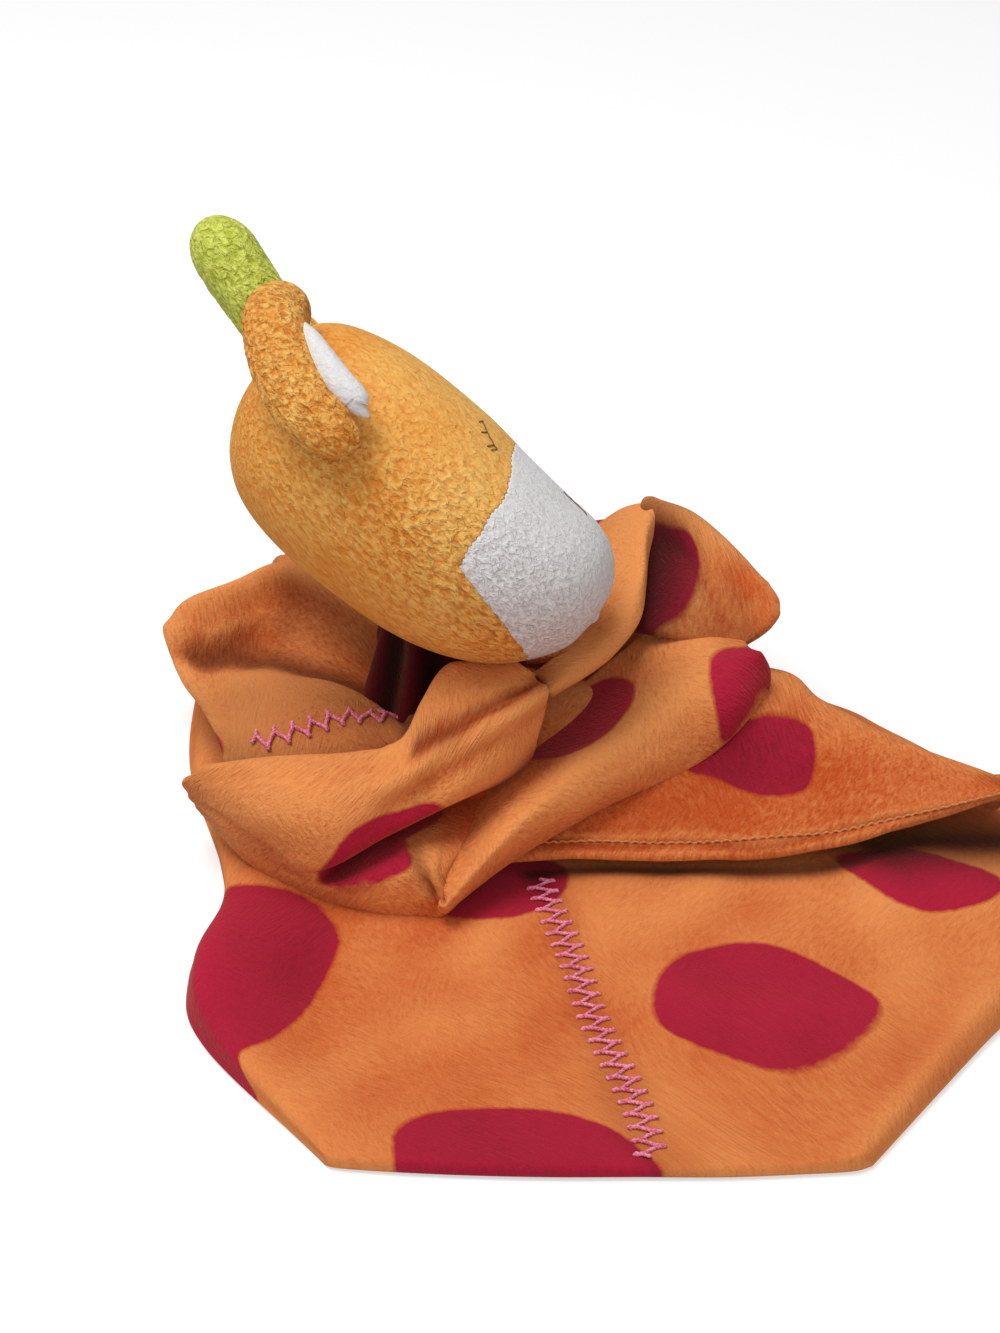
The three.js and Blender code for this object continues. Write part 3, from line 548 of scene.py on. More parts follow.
class FinishTree:
    """The nodes of one finish, added and joined one after another."""

    def __init__(self, name: str) -> None:
        """Starts a material of that name with its own shader."""
        self.material = bpy.data.materials.new(name)
        self.material.use_nodes = True
        self.shader = self.material.node_tree.nodes["Principled BSDF"]

    def feed(self, socket: Socket, value: object) -> None:
        """Links a socket to another one, or sets it to a plain value.

        Args:
            socket: The socket.
            value: Another socket or a value.
        """
        if isinstance(value, Socket):
            self.material.node_tree.links.new(value, socket)
        else:
            socket.default_value = value

    def node(self, kind: str, inputs: dict[object, object], **settings: object) -> bpy.types.Node:
        """Adds a shader node.

        Args:
            kind: The node's kind, without its usual first words.
            inputs: Values or sockets for its inputs, by name or number.
            settings: Its other settings.

        Returns:
            The node.
        """
        made = self.material.node_tree.nodes.new("ShaderNode" + kind)
        for key, value in settings.items():
            setattr(made, key, value)
        for key, value in inputs.items():
            self.feed(made.inputs[key], value)
        return made

    def value(self, name: str) -> Socket:
        """A number that the mesh holds at each vertex."""
        return self.node("Attribute", {}, attribute_name=name).outputs["Fac"]

    def places(self) -> Socket:
        """The piece's own coordinates, in metres."""
        return self.node("TexCoord", {}).outputs["Object"]

    def flat_places(self) -> Socket:
        """The cloth's own coordinates, in metres along and across it."""
        return self.node("TexCoord", {}).outputs["UV"]

    def noise(self, places: Socket, size: float, detail: float = NOISE_DETAIL) -> Socket:
        """Noise from 0 to 1 with patches of about that size, in metres."""
        inputs = {"Vector": places, "Scale": NOISE_PATCH / size, "Detail": detail}
        return self.node("TexNoise", inputs).outputs["Fac"]

    def strokes(self, places: Socket, size: tuple[float, float], turn: float, lean: float,
                twist: float) -> Socket:
        """Noise drawn out into strokes.

        Args:
            places: The coordinates.
            size: A stroke's width and length, in metres.
            turn: The strokes' direction, in degrees about z.
            lean: Their direction, in degrees about y before that.
            twist: How much the strokes curl.

        Returns:
            Noise from 0 to 1.
        """
        turns = (0, math.radians(lean), math.radians(turn))
        width, length = (NOISE_PATCH / side for side in size)
        laid = self.node("Mapping", {"Vector": places, "Rotation": turns})
        stretched = self.node("Mapping", {"Vector": laid.outputs[0], "Scale": (width, length, width)})
        inputs = {"Vector": stretched.outputs[0], "Scale": 1.0, "Detail": NOISE_DETAIL, "Distortion": twist}
        return self.node("TexNoise", inputs).outputs["Fac"]

    def sum(self, first: object, second: object, share: float = 1.0) -> Socket:
        """The first number plus a share of the second."""
        return self.node("Math", {0: second, 1: share, 2: first}, operation="MULTIPLY_ADD").outputs[0]

    def product(self, first: object, second: object) -> Socket:
        """One number times another."""
        return self.node("Math", {0: first, 1: second}, operation="MULTIPLY").outputs[0]

    def stepped(self, value: object, between: Steps, to: Steps = (0.0, 1.0)) -> Socket:
        """A smooth step between two values: the first of to below them, the second above."""
        inputs = {"Value": value, **dict(zip(("From Min", "From Max", "To Min", "To Max"), (*between, *to)))}
        return self.node("MapRange", inputs, interpolation_type="SMOOTHSTEP").outputs["Result"]

    def mixed(self, share: object, first: object, second: object, blend: str = "MIX") -> Socket:
        """Two colours mixed.

        Args:
            share: The second one's share, from 0 to 1.
            first: A socket, or a colour written in 0 to 255.
            second: The same.
            blend: How the second one acts on the first.

        Returns:
            The mixed colour.
        """
        node = self.node("Mix", {0: share}, data_type="RGBA", blend_type=blend)
        for number, value in ((6, first), (7, second)):
            self.feed(node.inputs[number], linear(value) if isinstance(value, tuple) else value)
        return node.outputs[2]

    def finished(self, colour: Socket, height: Socket, relief: float, rough: float, sheen: float,
                 tint: Colour) -> bpy.types.Material:
        """Puts the colour and the bumped normal into the shader and sets its plain numbers.

        Args:
            colour: The base colour.
            height: The relief, from 0 to 1.
            relief: Its height in metres.
            rough: The roughness.
            sheen: How much pale light the pile catches at a grazing angle.
            tint: The colour of that light.

        Returns:
            The material.
        """
        bump = self.node("Bump", {"Height": height, "Distance": relief, "Strength": 1.0})
        for key, value in (
            ("Base Color", colour),
            ("Normal", bump.outputs["Normal"]),
            ("Roughness", rough),
            ("Specular IOR Level", SPECULAR),
            ("Sheen Weight", sheen),
            ("Sheen Roughness", SHEEN_ROUGHNESS),
            ("Sheen Tint", linear(tint)),
        ):
            self.feed(self.shader.inputs[key], value)
        return self.material


@dataclass(frozen=True)
class Velour:
    """Orange velour with printed magenta spots: painted light on the ridges of its folds, painted shade in the
    hollows.
    """

    # The dark colour that painted shade multiplies in along creases, under folds and in the gather
    painted_shade_colour: Colour = (70, 14, 10)
    # The ends of the orange and magenta tones, which hold painted light on ridges and painted shade in hollows
    deep: Colour = (186, 70, 20)
    light: Colour = (233, 149, 84)
    spot_deep: Colour = (112, 2, 22)
    spot_light: Colour = (188, 26, 60)
    rim: Colour = (168, 44, 22)
    glow: Colour = (255, 196, 140)
    # The pile: strokes of two directions in patches, and grain
    stroke: tuple[float, float] = (0.5 * MM, 1.5 * MM)
    curl: float = 0.5
    stroke_turns: tuple[float, float] = (38, -20)
    patch: float = 20 * MM
    patch_steps: Steps = (0.42, 0.58)
    grain: float = 0.28 * MM
    stroke_share: float = 0.7
    grain_share: float = 0.3
    # The tone: the pile, stronger where the cloth has a nap, then clouds and painted light on the mesh's ridges
    plain_strength: float = 0.8
    nap_strength: float = 0.7
    cloud: float = 28 * MM
    cloud_share: float = 0.8
    painted_ridge_light_share: float = 0.42
    tone_shift: float = 0.11
    orange_steps: Steps = (-0.1, 1.1)
    magenta_steps: Steps = (-0.9, 1.5)
    # The spots' edges, in millimetres from the outlines that the mesh holds
    wander: float = 1.1 * MM
    wander_detail: float = 3.0
    wander_reach: float = 1.1
    rim_steps: Steps = (0.2, 1.1)
    rim_fade: Steps = (0.6, 0.0)
    spot_steps: Steps = (-0.35, 0.35)
    relief: float = 0.75 * MM
    rough: float = 0.9
    sheen: float = 0.2

    def material(self) -> bpy.types.Material:
        """The pile's strokes and the mesh's painted ridge light set the tone, and the spots follow a distance it
        holds.

        Returns:
            The material.
        """
        tree = FinishTree("orange_velour")
        cloth, places = tree.flat_places(), tree.places()
        patches = tree.stepped(tree.noise(places, self.patch), self.patch_steps)
        along, across = (tree.strokes(cloth, self.stroke, turn, 0.0, self.curl) for turn in self.stroke_turns)
        lying = tree.node("Mix", {0: patches, 2: along, 3: across}, data_type="FLOAT").outputs[0]
        grain = tree.noise(places, self.grain)
        pile = tree.sum(tree.product(lying, self.stroke_share), grain, self.grain_share)
        strength = tree.sum(self.plain_strength, tree.value("nap"), self.nap_strength)
        clouds = tree.noise(places, self.cloud)
        tone = tree.sum(tree.product(tree.sum(pile, -NOISE_MEAN), strength), clouds, self.cloud_share)
        # Painted light: paler on the mesh's ridges and edges, darker in its hollows, plus each fold's offset
        tone = tree.sum(tree.sum(tone, tree.value("ridge"), self.painted_ridge_light_share), self.tone_shift)
        orange = tree.mixed(tree.stepped(tone, self.orange_steps), self.deep, self.light)
        magenta = tree.mixed(tree.stepped(tone, self.magenta_steps), self.spot_deep, self.spot_light)
        wander = tree.sum(tree.noise(places, self.wander, self.wander_detail), -NOISE_MEAN)
        away = tree.sum(tree.value("spot"), wander, self.wander_reach)
        rimmed = tree.mixed(tree.stepped(away, self.rim_steps, self.rim_fade), orange, self.rim)
        dyed = tree.mixed(tree.stepped(away, self.spot_steps, FALLING), rimmed, magenta)
        # Painted shade from the mesh multiplies in a dark colour along creases, under folds and in the gather
        dyed_and_shaded = tree.mixed(tree.value("groove"), dyed, self.painted_shade_colour, "MULTIPLY")
        pressed = tree.product(pile, strength)
        return tree.finished(dyed_and_shaded, pressed, self.relief, self.rough, self.sheen, self.glow)


@dataclass(frozen=True)
class Plush:
    """Short curly plush, whose mesh holds its curls: pale on them, with painted shade in the gaps between them."""

    name: str
    # Painted shade in the gaps between curls
    painted_gap_shade: Colour
    # The ends of the tone, which holds painted light on the lit side
    deep: Colour
    light: Colour
    glow: Colour
    hair: tuple[float, float] = (0.7 * MM, 1.3 * MM)
    hair_turn: float = 90
    hair_lean: float = -45
    hair_twist: float = 0.6
    relief: float = 2.2 * MM
    # The tone: hair, stronger where the mesh is shaggy, then clouds, painted light on the lit side, and the curls
    calm_strength: float = 0.35
    shag_strength: float = 0.9
    contrast: float = 1.1
    cloud: float = 26 * MM
    painted_light_share: float = 0.12
    curl_share: float = 0.15
    tone_steps: Steps = (0.1, 0.9)
    # The painted shade in the gaps, deepest where the mesh is shaggy
    gap_curl_share: float = 0.08
    gap_steps: Steps = (0.36, 0.66)
    calm_gap: float = 0.08
    shag_gap: float = 0.34
    rough: float = 0.92
    sheen: float = 0.16

    def material(self) -> bpy.types.Material:
        """Curled strokes and the mesh's curls set tone and relief, and shaggy parts have the darkest painted gap
        shade.

        Returns:
            The material.
        """
        tree = FinishTree(self.name)
        places, shag, curl = tree.places(), tree.value("shag"), tree.value("curl")
        hair = tree.strokes(places, self.hair, self.hair_turn, self.hair_lean, self.hair_twist)
        strength = tree.sum(self.calm_strength, shag, self.shag_strength)
        ruffled = tree.product(tree.sum(hair, -NOISE_MEAN), strength)
        clouds = tree.sum(tree.noise(places, self.cloud), ruffled, self.contrast)
        # Painted light: paler on the brow's side, darker on the jaw's side
        lit_side = tree.sum(clouds, tree.value("tint"), self.painted_light_share)
        tone = tree.sum(lit_side, tree.sum(curl, -CURL_MEAN), self.curl_share)
        colour = tree.mixed(tree.stepped(tone, self.tone_steps), self.deep, self.light)
        # Painted shade in the gaps between curls, deepest where the mesh is shaggy
        gaps = tree.stepped(tree.sum(hair, curl, self.gap_curl_share), self.gap_steps, FALLING)
        depth = tree.product(gaps, tree.sum(self.calm_gap, shag, self.shag_gap))
        gap_shaded = tree.mixed(depth, colour, self.painted_gap_shade)
        pressed = tree.product(hair, strength)
        return tree.finished(gap_shaded, pressed, self.relief, self.rough, self.sheen, self.glow)


@dataclass(frozen=True)
class Thread:
    """Sewing thread with the twist of its strands."""

    name: str
    deep: Colour
    light: Colour
    glow: Colour = (255, 235, 235)
    twist: float = 0.35 * MM
    tone_steps: Steps = (0.3, 0.7)
    relief: float = 0.12 * MM
    rough: float = 0.55
    sheen: float = 0.15

    def material(self) -> bpy.types.Material:
        """Noise at the size of a strand's turns sets colour and relief.

        Returns:
            The material.
        """
        tree = FinishTree(self.name)
        grain = tree.noise(tree.places(), self.twist)
        colour = tree.mixed(tree.stepped(grain, self.tone_steps), self.deep, self.light)
        return tree.finished(colour, grain, self.relief, self.rough, self.sheen, self.glow)


class Finish(Enum):
    """The finishes of the lovey, by the material slot that each stands for."""

    VELOUR = Velour()
    # Each plush: painted shade in the gaps between curls, the deep and light ends of its tone, and its sheen's colour
    HEAD_PLUSH = Plush("golden_plush", (170, 82, 14), (226, 136, 44), (244, 193, 106), (255, 206, 130))
    WHITE_PLUSH = Plush("white_plush", (184, 176, 174), (214, 210, 208), (232, 231, 231), (255, 255, 255),
                        hair=(0.55 * MM, 0.85 * MM), relief=1.2 * MM)
    GREEN_PLUSH = Plush("lime_plush", (104, 114, 12), (190, 198, 58), (220, 226, 112), (240, 250, 170))
    FILLING = Plush("filling", (190, 184, 172), (222, 216, 204), (244, 240, 232), (255, 255, 255))
    DARK_THREAD = Thread("brown_thread", (86, 58, 44), (140, 108, 84))
    PINK_THREAD = Thread("pink_thread", (206, 84, 120), (246, 160, 180))
    HEM_THREAD = Thread("orange_thread", (196, 116, 60), (222, 146, 88))


class Wardrobe:
    """Makes each finish once and dresses pieces in it."""

    def __init__(self) -> None:
        """Starts with no finish made."""
        self.made: dict[Finish, bpy.types.Material] = {}

    def dress(self, piece: bpy.types.Object, finish: Finish, node: str, body: str = "") -> None:
        """Gives a piece its finish and says what it stands for.

        Args:
            piece: The piece.
            finish: Its finish, named as the record's material slot.
            node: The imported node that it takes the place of.
            body: The body that it rides on, or nothing for a piece that is blended between two.
        """
        if finish not in self.made:
            self.made[finish] = finish.value.material()
        piece.data.materials.clear()
        piece.data.materials.append(self.made[finish])
        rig.slot(piece, finish.name.lower())
        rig.replaces(piece, node)
        if body:
            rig.ride(piece, body)


# The folds' nets: rows of places from back to front, in millimetres on a heap as wide as NET_SPAN

NET_SPAN = 200 * MM
TABLE_LAYER_NET = (
    ((-90, 66, 2), (-72, 84, 5), (-35, 99, 5), (5, 105, 5), (45, 97, 5), (68, 72, 5), (84, 50, 6),
     (100, 40, 5), (106, 38, 3)),
    ((-88, 15, 2), (-80, 15, 6), (-40, 15, 6), (5, 15, 5), (45, 15, 5), (85, 12, 5), (118, 0, 6),
     (140, -14, 10), (148, -15, 4)),
    ((-73, -42, 2), (-69, -42, 7), (-40, -38, 6), (0, -38, 5), (40, -38, 5), (85, -44, 9), (115, -48, 14),
     (146, -50, 12), (154, -51, 4)),
    ((-79, -80, 4), (-73, -78, 13), (-45, -75, 5), (0, -72, 4.5), (40, -72, 4.5), (85, -74, 5),
     (115, -74, 7), (134, -76, 8), (141, -77, 4)),
    ((-73, -104, 2), (-68, -103, 8), (-42, -106, 4), (0, -104, 4), (38, -104, 4), (78, -104, 5),
     (102, -104, 5), (114, -103, 7), (120, -103, 3)),
    ((-41, -145, 2), (-37, -147, 4), (-14, -149, 4), (10, -150, 4), (33, -150, 4), (52, -150, 4),
     (70, -149, 4), (82, -148, 5), (87, -146, 2)),
)
RIGHT_FLAP_NET = (
    ((10, 40, 9), (36, 46, 8), (66, 44, 8), (92, 22, 8), (114, 4, 9), (136, -18, 12)),
    ((8, 28, 20), (32, 32, 18), (66, 34, 18), (92, 12, 16), (112, -6, 18), (138, -26, 22)),
    ((5, 8, 30), (30, 12, 32), (75, 15, 33), (88, 5, 31), (104, -10, 30), (133, -36, 33)),
    ((0, -18, 20), (25, -18, 20), (55, -18, 20), (88, -22, 22), (112, -30, 26.5), (134, -37, 31.5)),
    ((-5, -40, 9), (19, -40, 11), (50, -42, 12), (85, -42, 16), (111, -39, 22.5), (132, -38, 30)),
)
MIDDLE_FOLD_NET = (
    ((-18, -41, 10), (-8, -21, 16), (6, -2, 22), (17, 9, 28), (34, 23, 36), (47, 31, 40), (68, 25, 40)),
    ((-16, -54, 14), (-3, -36, 22), (11, -19, 26), (22, -5, 29), (36, 9, 35), (52, 16, 42), (69, 12, 44)),
    ((-14, -62, 13), (3, -46, 26), (18, -31, 31), (32, -17, 34), (46, -6, 38), (60, 3, 42), (72, 9, 44)),
    ((-14, -62, 9), (4, -48, 21), (22, -34, 25), (37, -22, 28), (52, -11, 32), (65, -3, 36), (75, 10, 38)),
    ((-15, -58, 5), (5, -43, 12), (27, -27, 16), (43, -19, 19), (56, -12, 22), (67, -3, 27), (75, 8, 32)),
)
FRONT_ROLL_NET = (
    ((-76, -22, 26), (-62, -24, 28), (-50, -28, 30), (-37, -30, 32), (-26, -26, 34), (-21, -13, 38),
     (-13, -5, 44), (5, -5, 48)),
    ((-78, -29, 33), (-62, -33, 38), (-50, -34, 40), (-36, -35, 42), (-25, -36, 45), (-19, -22, 48),
     (-12, -10, 52), (5, -9, 53)),
    ((-82, -30, 30), (-66, -38, 36), (-54, -45, 38), (-38, -49, 39), (-24, -46, 42), (-13, -34, 46),
     (0, -29, 49), (13, -18, 51)),
    ((-85, -28, 26), (-70, -40, 32), (-59, -49, 31), (-41, -55, 31), (-26, -49, 36), (-12, -39, 40),
     (1, -32, 43), (13, -20, 46)),
    ((-84, -26, 22), (-73, -39, 26), (-62, -48, 24), (-46, -56, 19), (-30, -51, 25), (-16, -46, 30),
     (0, -34, 33), (11, -22, 38)),
    ((-84, -25, 20), (-74, -37, 23), (-63, -46, 20), (-47, -53, 14.5), (-30, -28, 17), (-18, -25, 18),
     (0, -22, 20), (8, -18, 25)),
    ((-84, -23, 18), (-75, -36, 20), (-65, -44, 16), (-47, -54, 13), (-33, -55, 18), (-22, -52, 21),
     (-14, -52, 18), (-8, -41, 14)),
    ((-83, -21, 15), (-76, -33, 17), (-66, -42, 12), (-49, -53, 10), (-32, -58, 11), (-18, -57, 13),
     (-14, -58, 12), (-9, -44, 10)),
    ((-83, -18, 11), (-77, -30, 13), (-66, -40, 7), (-49, -50, 4), (-33, -56, 4), (-19, -58, 4),
     (-14, -57, 4), (-10, -52, 4)),
)
LEFT_FOLD_NET = (
    ((-70, 34, 8), (-84, 56, 8), (-66, 76, 8), (-40, 84, 8), (-10, 84, 8), (14, 76, 8)),
    ((-96, 46, 27), (-91, 51, 34), (-76, 54, 40), (-62, 55, 46), (-40, 52, 46), (-14, 48, 46)),
    ((-94, 36, 25), (-82, 44, 30), (-69, 47, 34), (-53, 44, 36), (-36, 30, 38), (-19, 11, 40)),
    ((-90, 25, 24), (-79, 35, 25), (-66, 39, 26), (-50, 31, 27), (-35, 23, 27), (-22, 6, 30)),
    ((-84, 13, 24), (-74, 16, 27), (-61, 15, 29), (-47, 13, 29), (-33, 7, 28), (-23, -6, 30)),
    ((-79, 1, 22), (-68, -4, 27), (-57, -3, 29), (-45, 0, 29), (-33, -5, 28), (-24, -16, 30)),
    ((-76, -5, 16), (-66, -15, 20), (-54, -18, 22), (-42, -18, 22), (-31, -16, 22), (-22, -16, 24)),
)
UPRIGHT_FOLD_NET = (
    ((48, 90, 6), (58, 82, 6), (66, 66, 6), (71, 52, 8)),
    ((46, 78, 50), (57, 72, 46), (67, 57, 40), (74, 44, 36)),
    ((41, 60, 63), (54, 57, 60.5), (68, 46, 54), (76, 34, 50.5)),
    ((41, 47, 55), (52, 45, 54), (66, 35, 51), (76, 22, 51)),
    ((40, 32, 49.5), (50, 31, 49.5), (62, 26, 48.5), (74, 18, 47)),
    ((37, 20, 44.5), (46, 18, 44.5), (57, 17, 42.5), (68, 16, 41)),
)
ROLLED_EDGE_NET = (
    ((47, 58, 58.5), (43, 46, 53.5), (41, 32, 48.5), (39, 18, 47.5), (32, 8, 43.5), (23, 0, 40.5),
     (14, -6, 38)),
    ((44, 60, 62.5), (41, 45, 61), (40, 32, 57), (36, 20, 52), (31, 10, 48), (22, 2, 44.5), (13, -8, 42.5)),
    ((36, 64, 59), (32, 50, 56.5), (30, 36, 53), (29, 22, 49.5), (25, 12, 47.5), (17, 4, 45.5),
     (10, 0, 42.5)),
    ((28, 66, 52), (26, 50, 50), (24, 36, 49), (24, 22, 46), (19, 12, 46), (13, 4, 44.5), (8, 0, 42.5)),
)
BACK_FOLD_NET = (
    ((-72, 88, 4), (-36, 100, 4), (4, 104, 4), (46, 94, 4)),
    ((-70, 80, 26), (-34, 90, 26), (2, 94, 26), (40, 84, 34)),
    ((-64, 60, 42), (-32, 68, 46), (0, 70, 46), (34, 62, 54)),
    ((-60, 34, 20), (-35, 38, 18), (0, 42, 18), (28, 44, 20)),
)


# The blanket

# Millimetres from a spot where there is none
SPOT_FAR = 60.0
EVEN_ROWS, EVEN_COLUMNS = 90, 110
THREAD_SIDES = 6


@dataclass(frozen=True)
class Crease:
    """A line pressed into a fold, or raised where its depth is negative, in shares of its rows and columns.

    Its depth and its painted shade, darkening the cloth along it, fall off over its width as a bell curve.
    """

    line: Shares
    depth: float
    width: float
    shade: float = 0.0


@dataclass
class Fold:
    """One fold of the blanket: a double layer of velour through a net of places.

    The surface is a smooth one through the net, evened out a little, with a soft ripple and its own creases.
    """

    name: str
    net: tuple
    flat: tuple[float, float]
    rests_on: tuple[str, ...]
    spots: tuple[Shares, ...]
    creases: tuple[Crease, ...]
    seed: int
    on_table: bool = False
    # Painted light: paler at the rounded edges, and an offset that pales or darkens the whole fold
    edge_ridge: float = 0.5
    painted_light_offset: float = 0.0
    ripple: float = 0.5 * MM
    ripple_waves: tuple[float, float] = (24 * MM, 52 * MM)
    short_wave_share: float = 0.6
    evening: int = 4
    spacing: float = 1.35 * MM
    underside: float = 0.25 * MM
    crease_samples: int = 40
    ridge_passes: int = 70
    ridge_height: float = 0.9 * MM

    def __post_init__(self) -> None:
        """Works out the cloth's outer surface, its own flat coordinates and the fullness of its edges."""
        net = np.array(self.net) * MM * (HEAP_SPAN / NET_SPAN)
        even = smooth_through(smooth_through(net, EVEN_COLUMNS, 1), EVEN_ROWS, 0)
        even = self.rippled(relaxed(even, self.evening)) + HEAP_SHIFT
        self.length = np.array([run_lengths(even, 0)[-1].mean(), run_lengths(even, 1)[:, -1].mean()])
        rim = CLOTH_THICKNESS / 2
        self.row_places, self.column_places = (
            rim_shares(length, rim, int(length / self.spacing)) for length in self.length
        )
        self.skin = smooth_through(smooth_through(even, self.column_places, 1), self.row_places, 0)
        self.normals = grid_normals(self.skin)
        down, across = run_lengths(self.skin, 0), run_lengths(self.skin, 1)
        self.cloth = np.stack([down, across], axis=-1)
        from_edge = np.minimum.reduce([down, across, down[-1:] - down, across[:, -1:] - across])
        self.fullness = rounding(from_edge, rim)

    def rippled(self, grid: Array) -> Array:
        """A grid moved along its normals by smooth noise of two wavelengths, fading out at its border.

        Args:
            grid: Rows by columns of points.

        Returns:
            The moved grid.
        """
        rows, columns = (np.sin(np.linspace(0, math.pi, count)) for count in grid.shape[:2])
        short, long = (soft_noise(grid, wave, self.seed + 50 * k) for k, wave in enumerate(self.ripple_waves))
        swell = (short * self.short_wave_share + long) * self.ripple * np.sqrt(np.outer(rows, columns))
        return grid + grid_normals(grid) * swell[..., None]

    def looked_up(self, grid: Array, shares: Array) -> Array:
        """Values of a grid between its points, mixed evenly from the four around each place.

        Args:
            grid: Rows by columns of values.
            shares: Places by 2, in shares of the rows and columns.

        Returns:
            The values at the places.
        """
        held = np.clip(shares, 0, 1)
        row = np.interp(held[:, 0], self.row_places, np.arange(len(self.row_places)))
        column = np.interp(held[:, 1], self.column_places, np.arange(len(self.column_places)))
        i = np.minimum(row.astype(int), grid.shape[0] - 2)
        j = np.minimum(column.astype(int), grid.shape[1] - 2)
        s, t = (row - i)[:, None], (column - j)[:, None]
        near = grid[i, j] * (1 - t) + grid[i, j + 1] * t
        return near * (1 - s) + (grid[i + 1, j] * (1 - t) + grid[i + 1, j + 1] * t) * s

    def on_cloth(self, shares: Shares) -> Array:
        """Shares of rows and columns as places on the flat cloth, in metres, straight on past its border."""
        wanted = np.array(shares, dtype=float)
        return self.looked_up(self.cloth, wanted) + (wanted - np.clip(wanted, 0, 1)) * self.length

    def pressed(self) -> Array:
        """Presses the creases into the skin and works out their painted shade.

        Returns:
            How much painted shade the creases lay on the cloth, from 0 to 1.
        """
        groove = np.zeros(self.fullness.shape)
        for crease in self.creases:
            line = smooth_through(self.on_cloth(crease.line), self.crease_samples, 0)
            share = np.exp(-((distance_to_line(self.cloth, line) / crease.width) ** 2))
            self.skin = self.skin - self.normals * (crease.depth * share)[..., None]
            groove = np.maximum(groove, crease.shade * share)
        self.normals = grid_normals(self.skin)
        return groove

    def ridges(self) -> Array:
        """Painted light: how far the skin stands off its evened-out shape, from -1 to 1, plus what makes it paler."""
        stands_off = ((self.skin - relaxed(self.skin, self.ridge_passes)) * self.normals).sum(axis=-1)
        return np.tanh(stands_off / self.ridge_height) + self.edge_ridge * (1 - self.fullness) + self.painted_light_offset

    def from_spots(self) -> Array:
        """How far each place lies from the nearest printed spot, in millimetres, negative inside it.

        Returns:
            Rows by columns of distances.
        """
        nearest = np.full(self.fullness.shape, SPOT_FAR)
        for spot in self.spots:
            outline = rounded_outline(self.on_cloth(spot))
            nearest = np.minimum(nearest, distance_to_outline(self.cloth, outline) / MM)
        return nearest

    def layers(self) -> tuple[Array, Array]:
        """The cloth's outer and inner layer.

        The middle surface lies half a thickness under the skin. Both layers stand off it by half a thickness
        times the fullness, which falls to zero along a quarter circle at the edges. On the table the inner
        layer lies flat just above it.

        Returns:
            The two layers, rows by columns of points.
        """
        full = self.fullness[..., None]
        if not self.on_table:
            half = self.normals * (CLOTH_THICKNESS / 2)
            middle = self.skin - half
            return middle + half * full, middle - half * full
        middle, bottom = self.skin.copy(), self.skin.copy()
        middle[..., 2] = np.minimum(self.skin[..., 2], CLOTH_THICKNESS) / 2
        bottom[..., 2] = self.underside
        return middle + (self.skin - middle) * full, middle + (bottom - middle) * full

    def build(self, wardrobe: Wardrobe) -> bpy.types.Object:
        """Makes the fold and dresses it.

        Args:
            wardrobe: Gives the velour.

        Returns:
            The piece.
        """
        groove = self.pressed()
        self.outer, inner = self.layers()
        nap = np.full(groove.shape, 0.0 if self.on_table else 1.0)
        # The creases' painted shade and the painted light on ridges ride on the mesh with the spots and the nap
        values = {"spot": self.from_spots(), "groove": groove, "ridge": self.ridges(), "nap": nap}
        piece = closed_sheet(self.name, self.outer, inner, self.cloth[..., ::-1], values)
        wardrobe.dress(piece, Finish.VELOUR, "blanket_" + self.name, "blanket")
        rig.sheet(piece, flat=self.flat, held="folded", rests_on=list(self.rests_on))
        log.info("%s: %.0f by %.0f mm", self.name, *(self.length / MM))
        return piece


@dataclass(frozen=True)
class SeamThread:
    """A thread that runs along a line on a fold, in shares of its rows and columns."""

    name: str
    node: str
    line: Shares
    finish: Finish
    swing: float
    pitch: float
    radius: float
    loop: float = 0.0
    dive: float = 0.0
    plies: int = 2
    turn_steps: int = 40
    ply_pitch: float = 1.9 * MM
    ply_reach: float = 0.85
    turn_sharpness: float = 0.96
    lie: float = 1.7
    lie_swing: float = 0.5
    samples: int = 400

    def build(self, fold: Fold, wardrobe: Wardrobe) -> bpy.types.Object:
        """Lays the thread on the fold and dresses it.

        Along its length s the thread lies to the side by swing / 2 times a triangle wave of s / pitch, and
        runs back by the loop's reach * sin of twice the wave's phase, which curls each turn into a small
        loop. Each of its plies circles it once in each ply pitch.

        Args:
            fold: The fold that carries the thread.
            wardrobe: Gives the thread's finish.

        Returns:
            The piece.
        """
        centre = smooth_through(np.array(self.line), self.samples, 0)
        laid = fold.looked_up(fold.outer, centre)
        run = run_lengths(laid)
        turns = round(run[-1] / self.pitch)
        share = np.linspace(0, 1, turns * self.turn_steps + 1)
        middle, out = (
            np.stack([np.interp(share * run[-1], run, axis) for axis in points.T], axis=1)
            for points in (laid, unit(fold.looked_up(fold.normals, centre)))
        )
        ahead = unit(np.gradient(middle, axis=0))
        phase = 2 * math.pi * turns * share
        wave = 2 / math.pi * np.arcsin(self.turn_sharpness * np.sin(phase))
        over = self.radius * (self.lie + self.lie_swing * np.cos(phase)) - self.dive * (1 - np.cos(phase)) / 2
        path = middle + np.cross(out, ahead) * (wave * self.swing / 2)[:, None] + out * over[:, None]
        path = path + ahead * (self.loop * np.sin(2 * phase))[:, None]
        across = unit(np.cross(out, np.gradient(path, axis=0)))
        reach = self.radius * self.ply_reach if self.plies > 1 else 0.0
        tubes = []
        for ply in range(self.plies):
            turn = 2 * math.pi * (run_lengths(path) / self.ply_pitch + ply / self.plies)
            circle = across * np.cos(turn)[:, None] + out * np.sin(turn)[:, None]
            tubes.append(rings_round(path + reach * circle, out, self.radius, self.radius, THREAD_SIDES))
        piece = closed_tubes(self.name, tubes)
        wardrobe.dress(piece, self.finish, self.node, "blanket")
        return piece


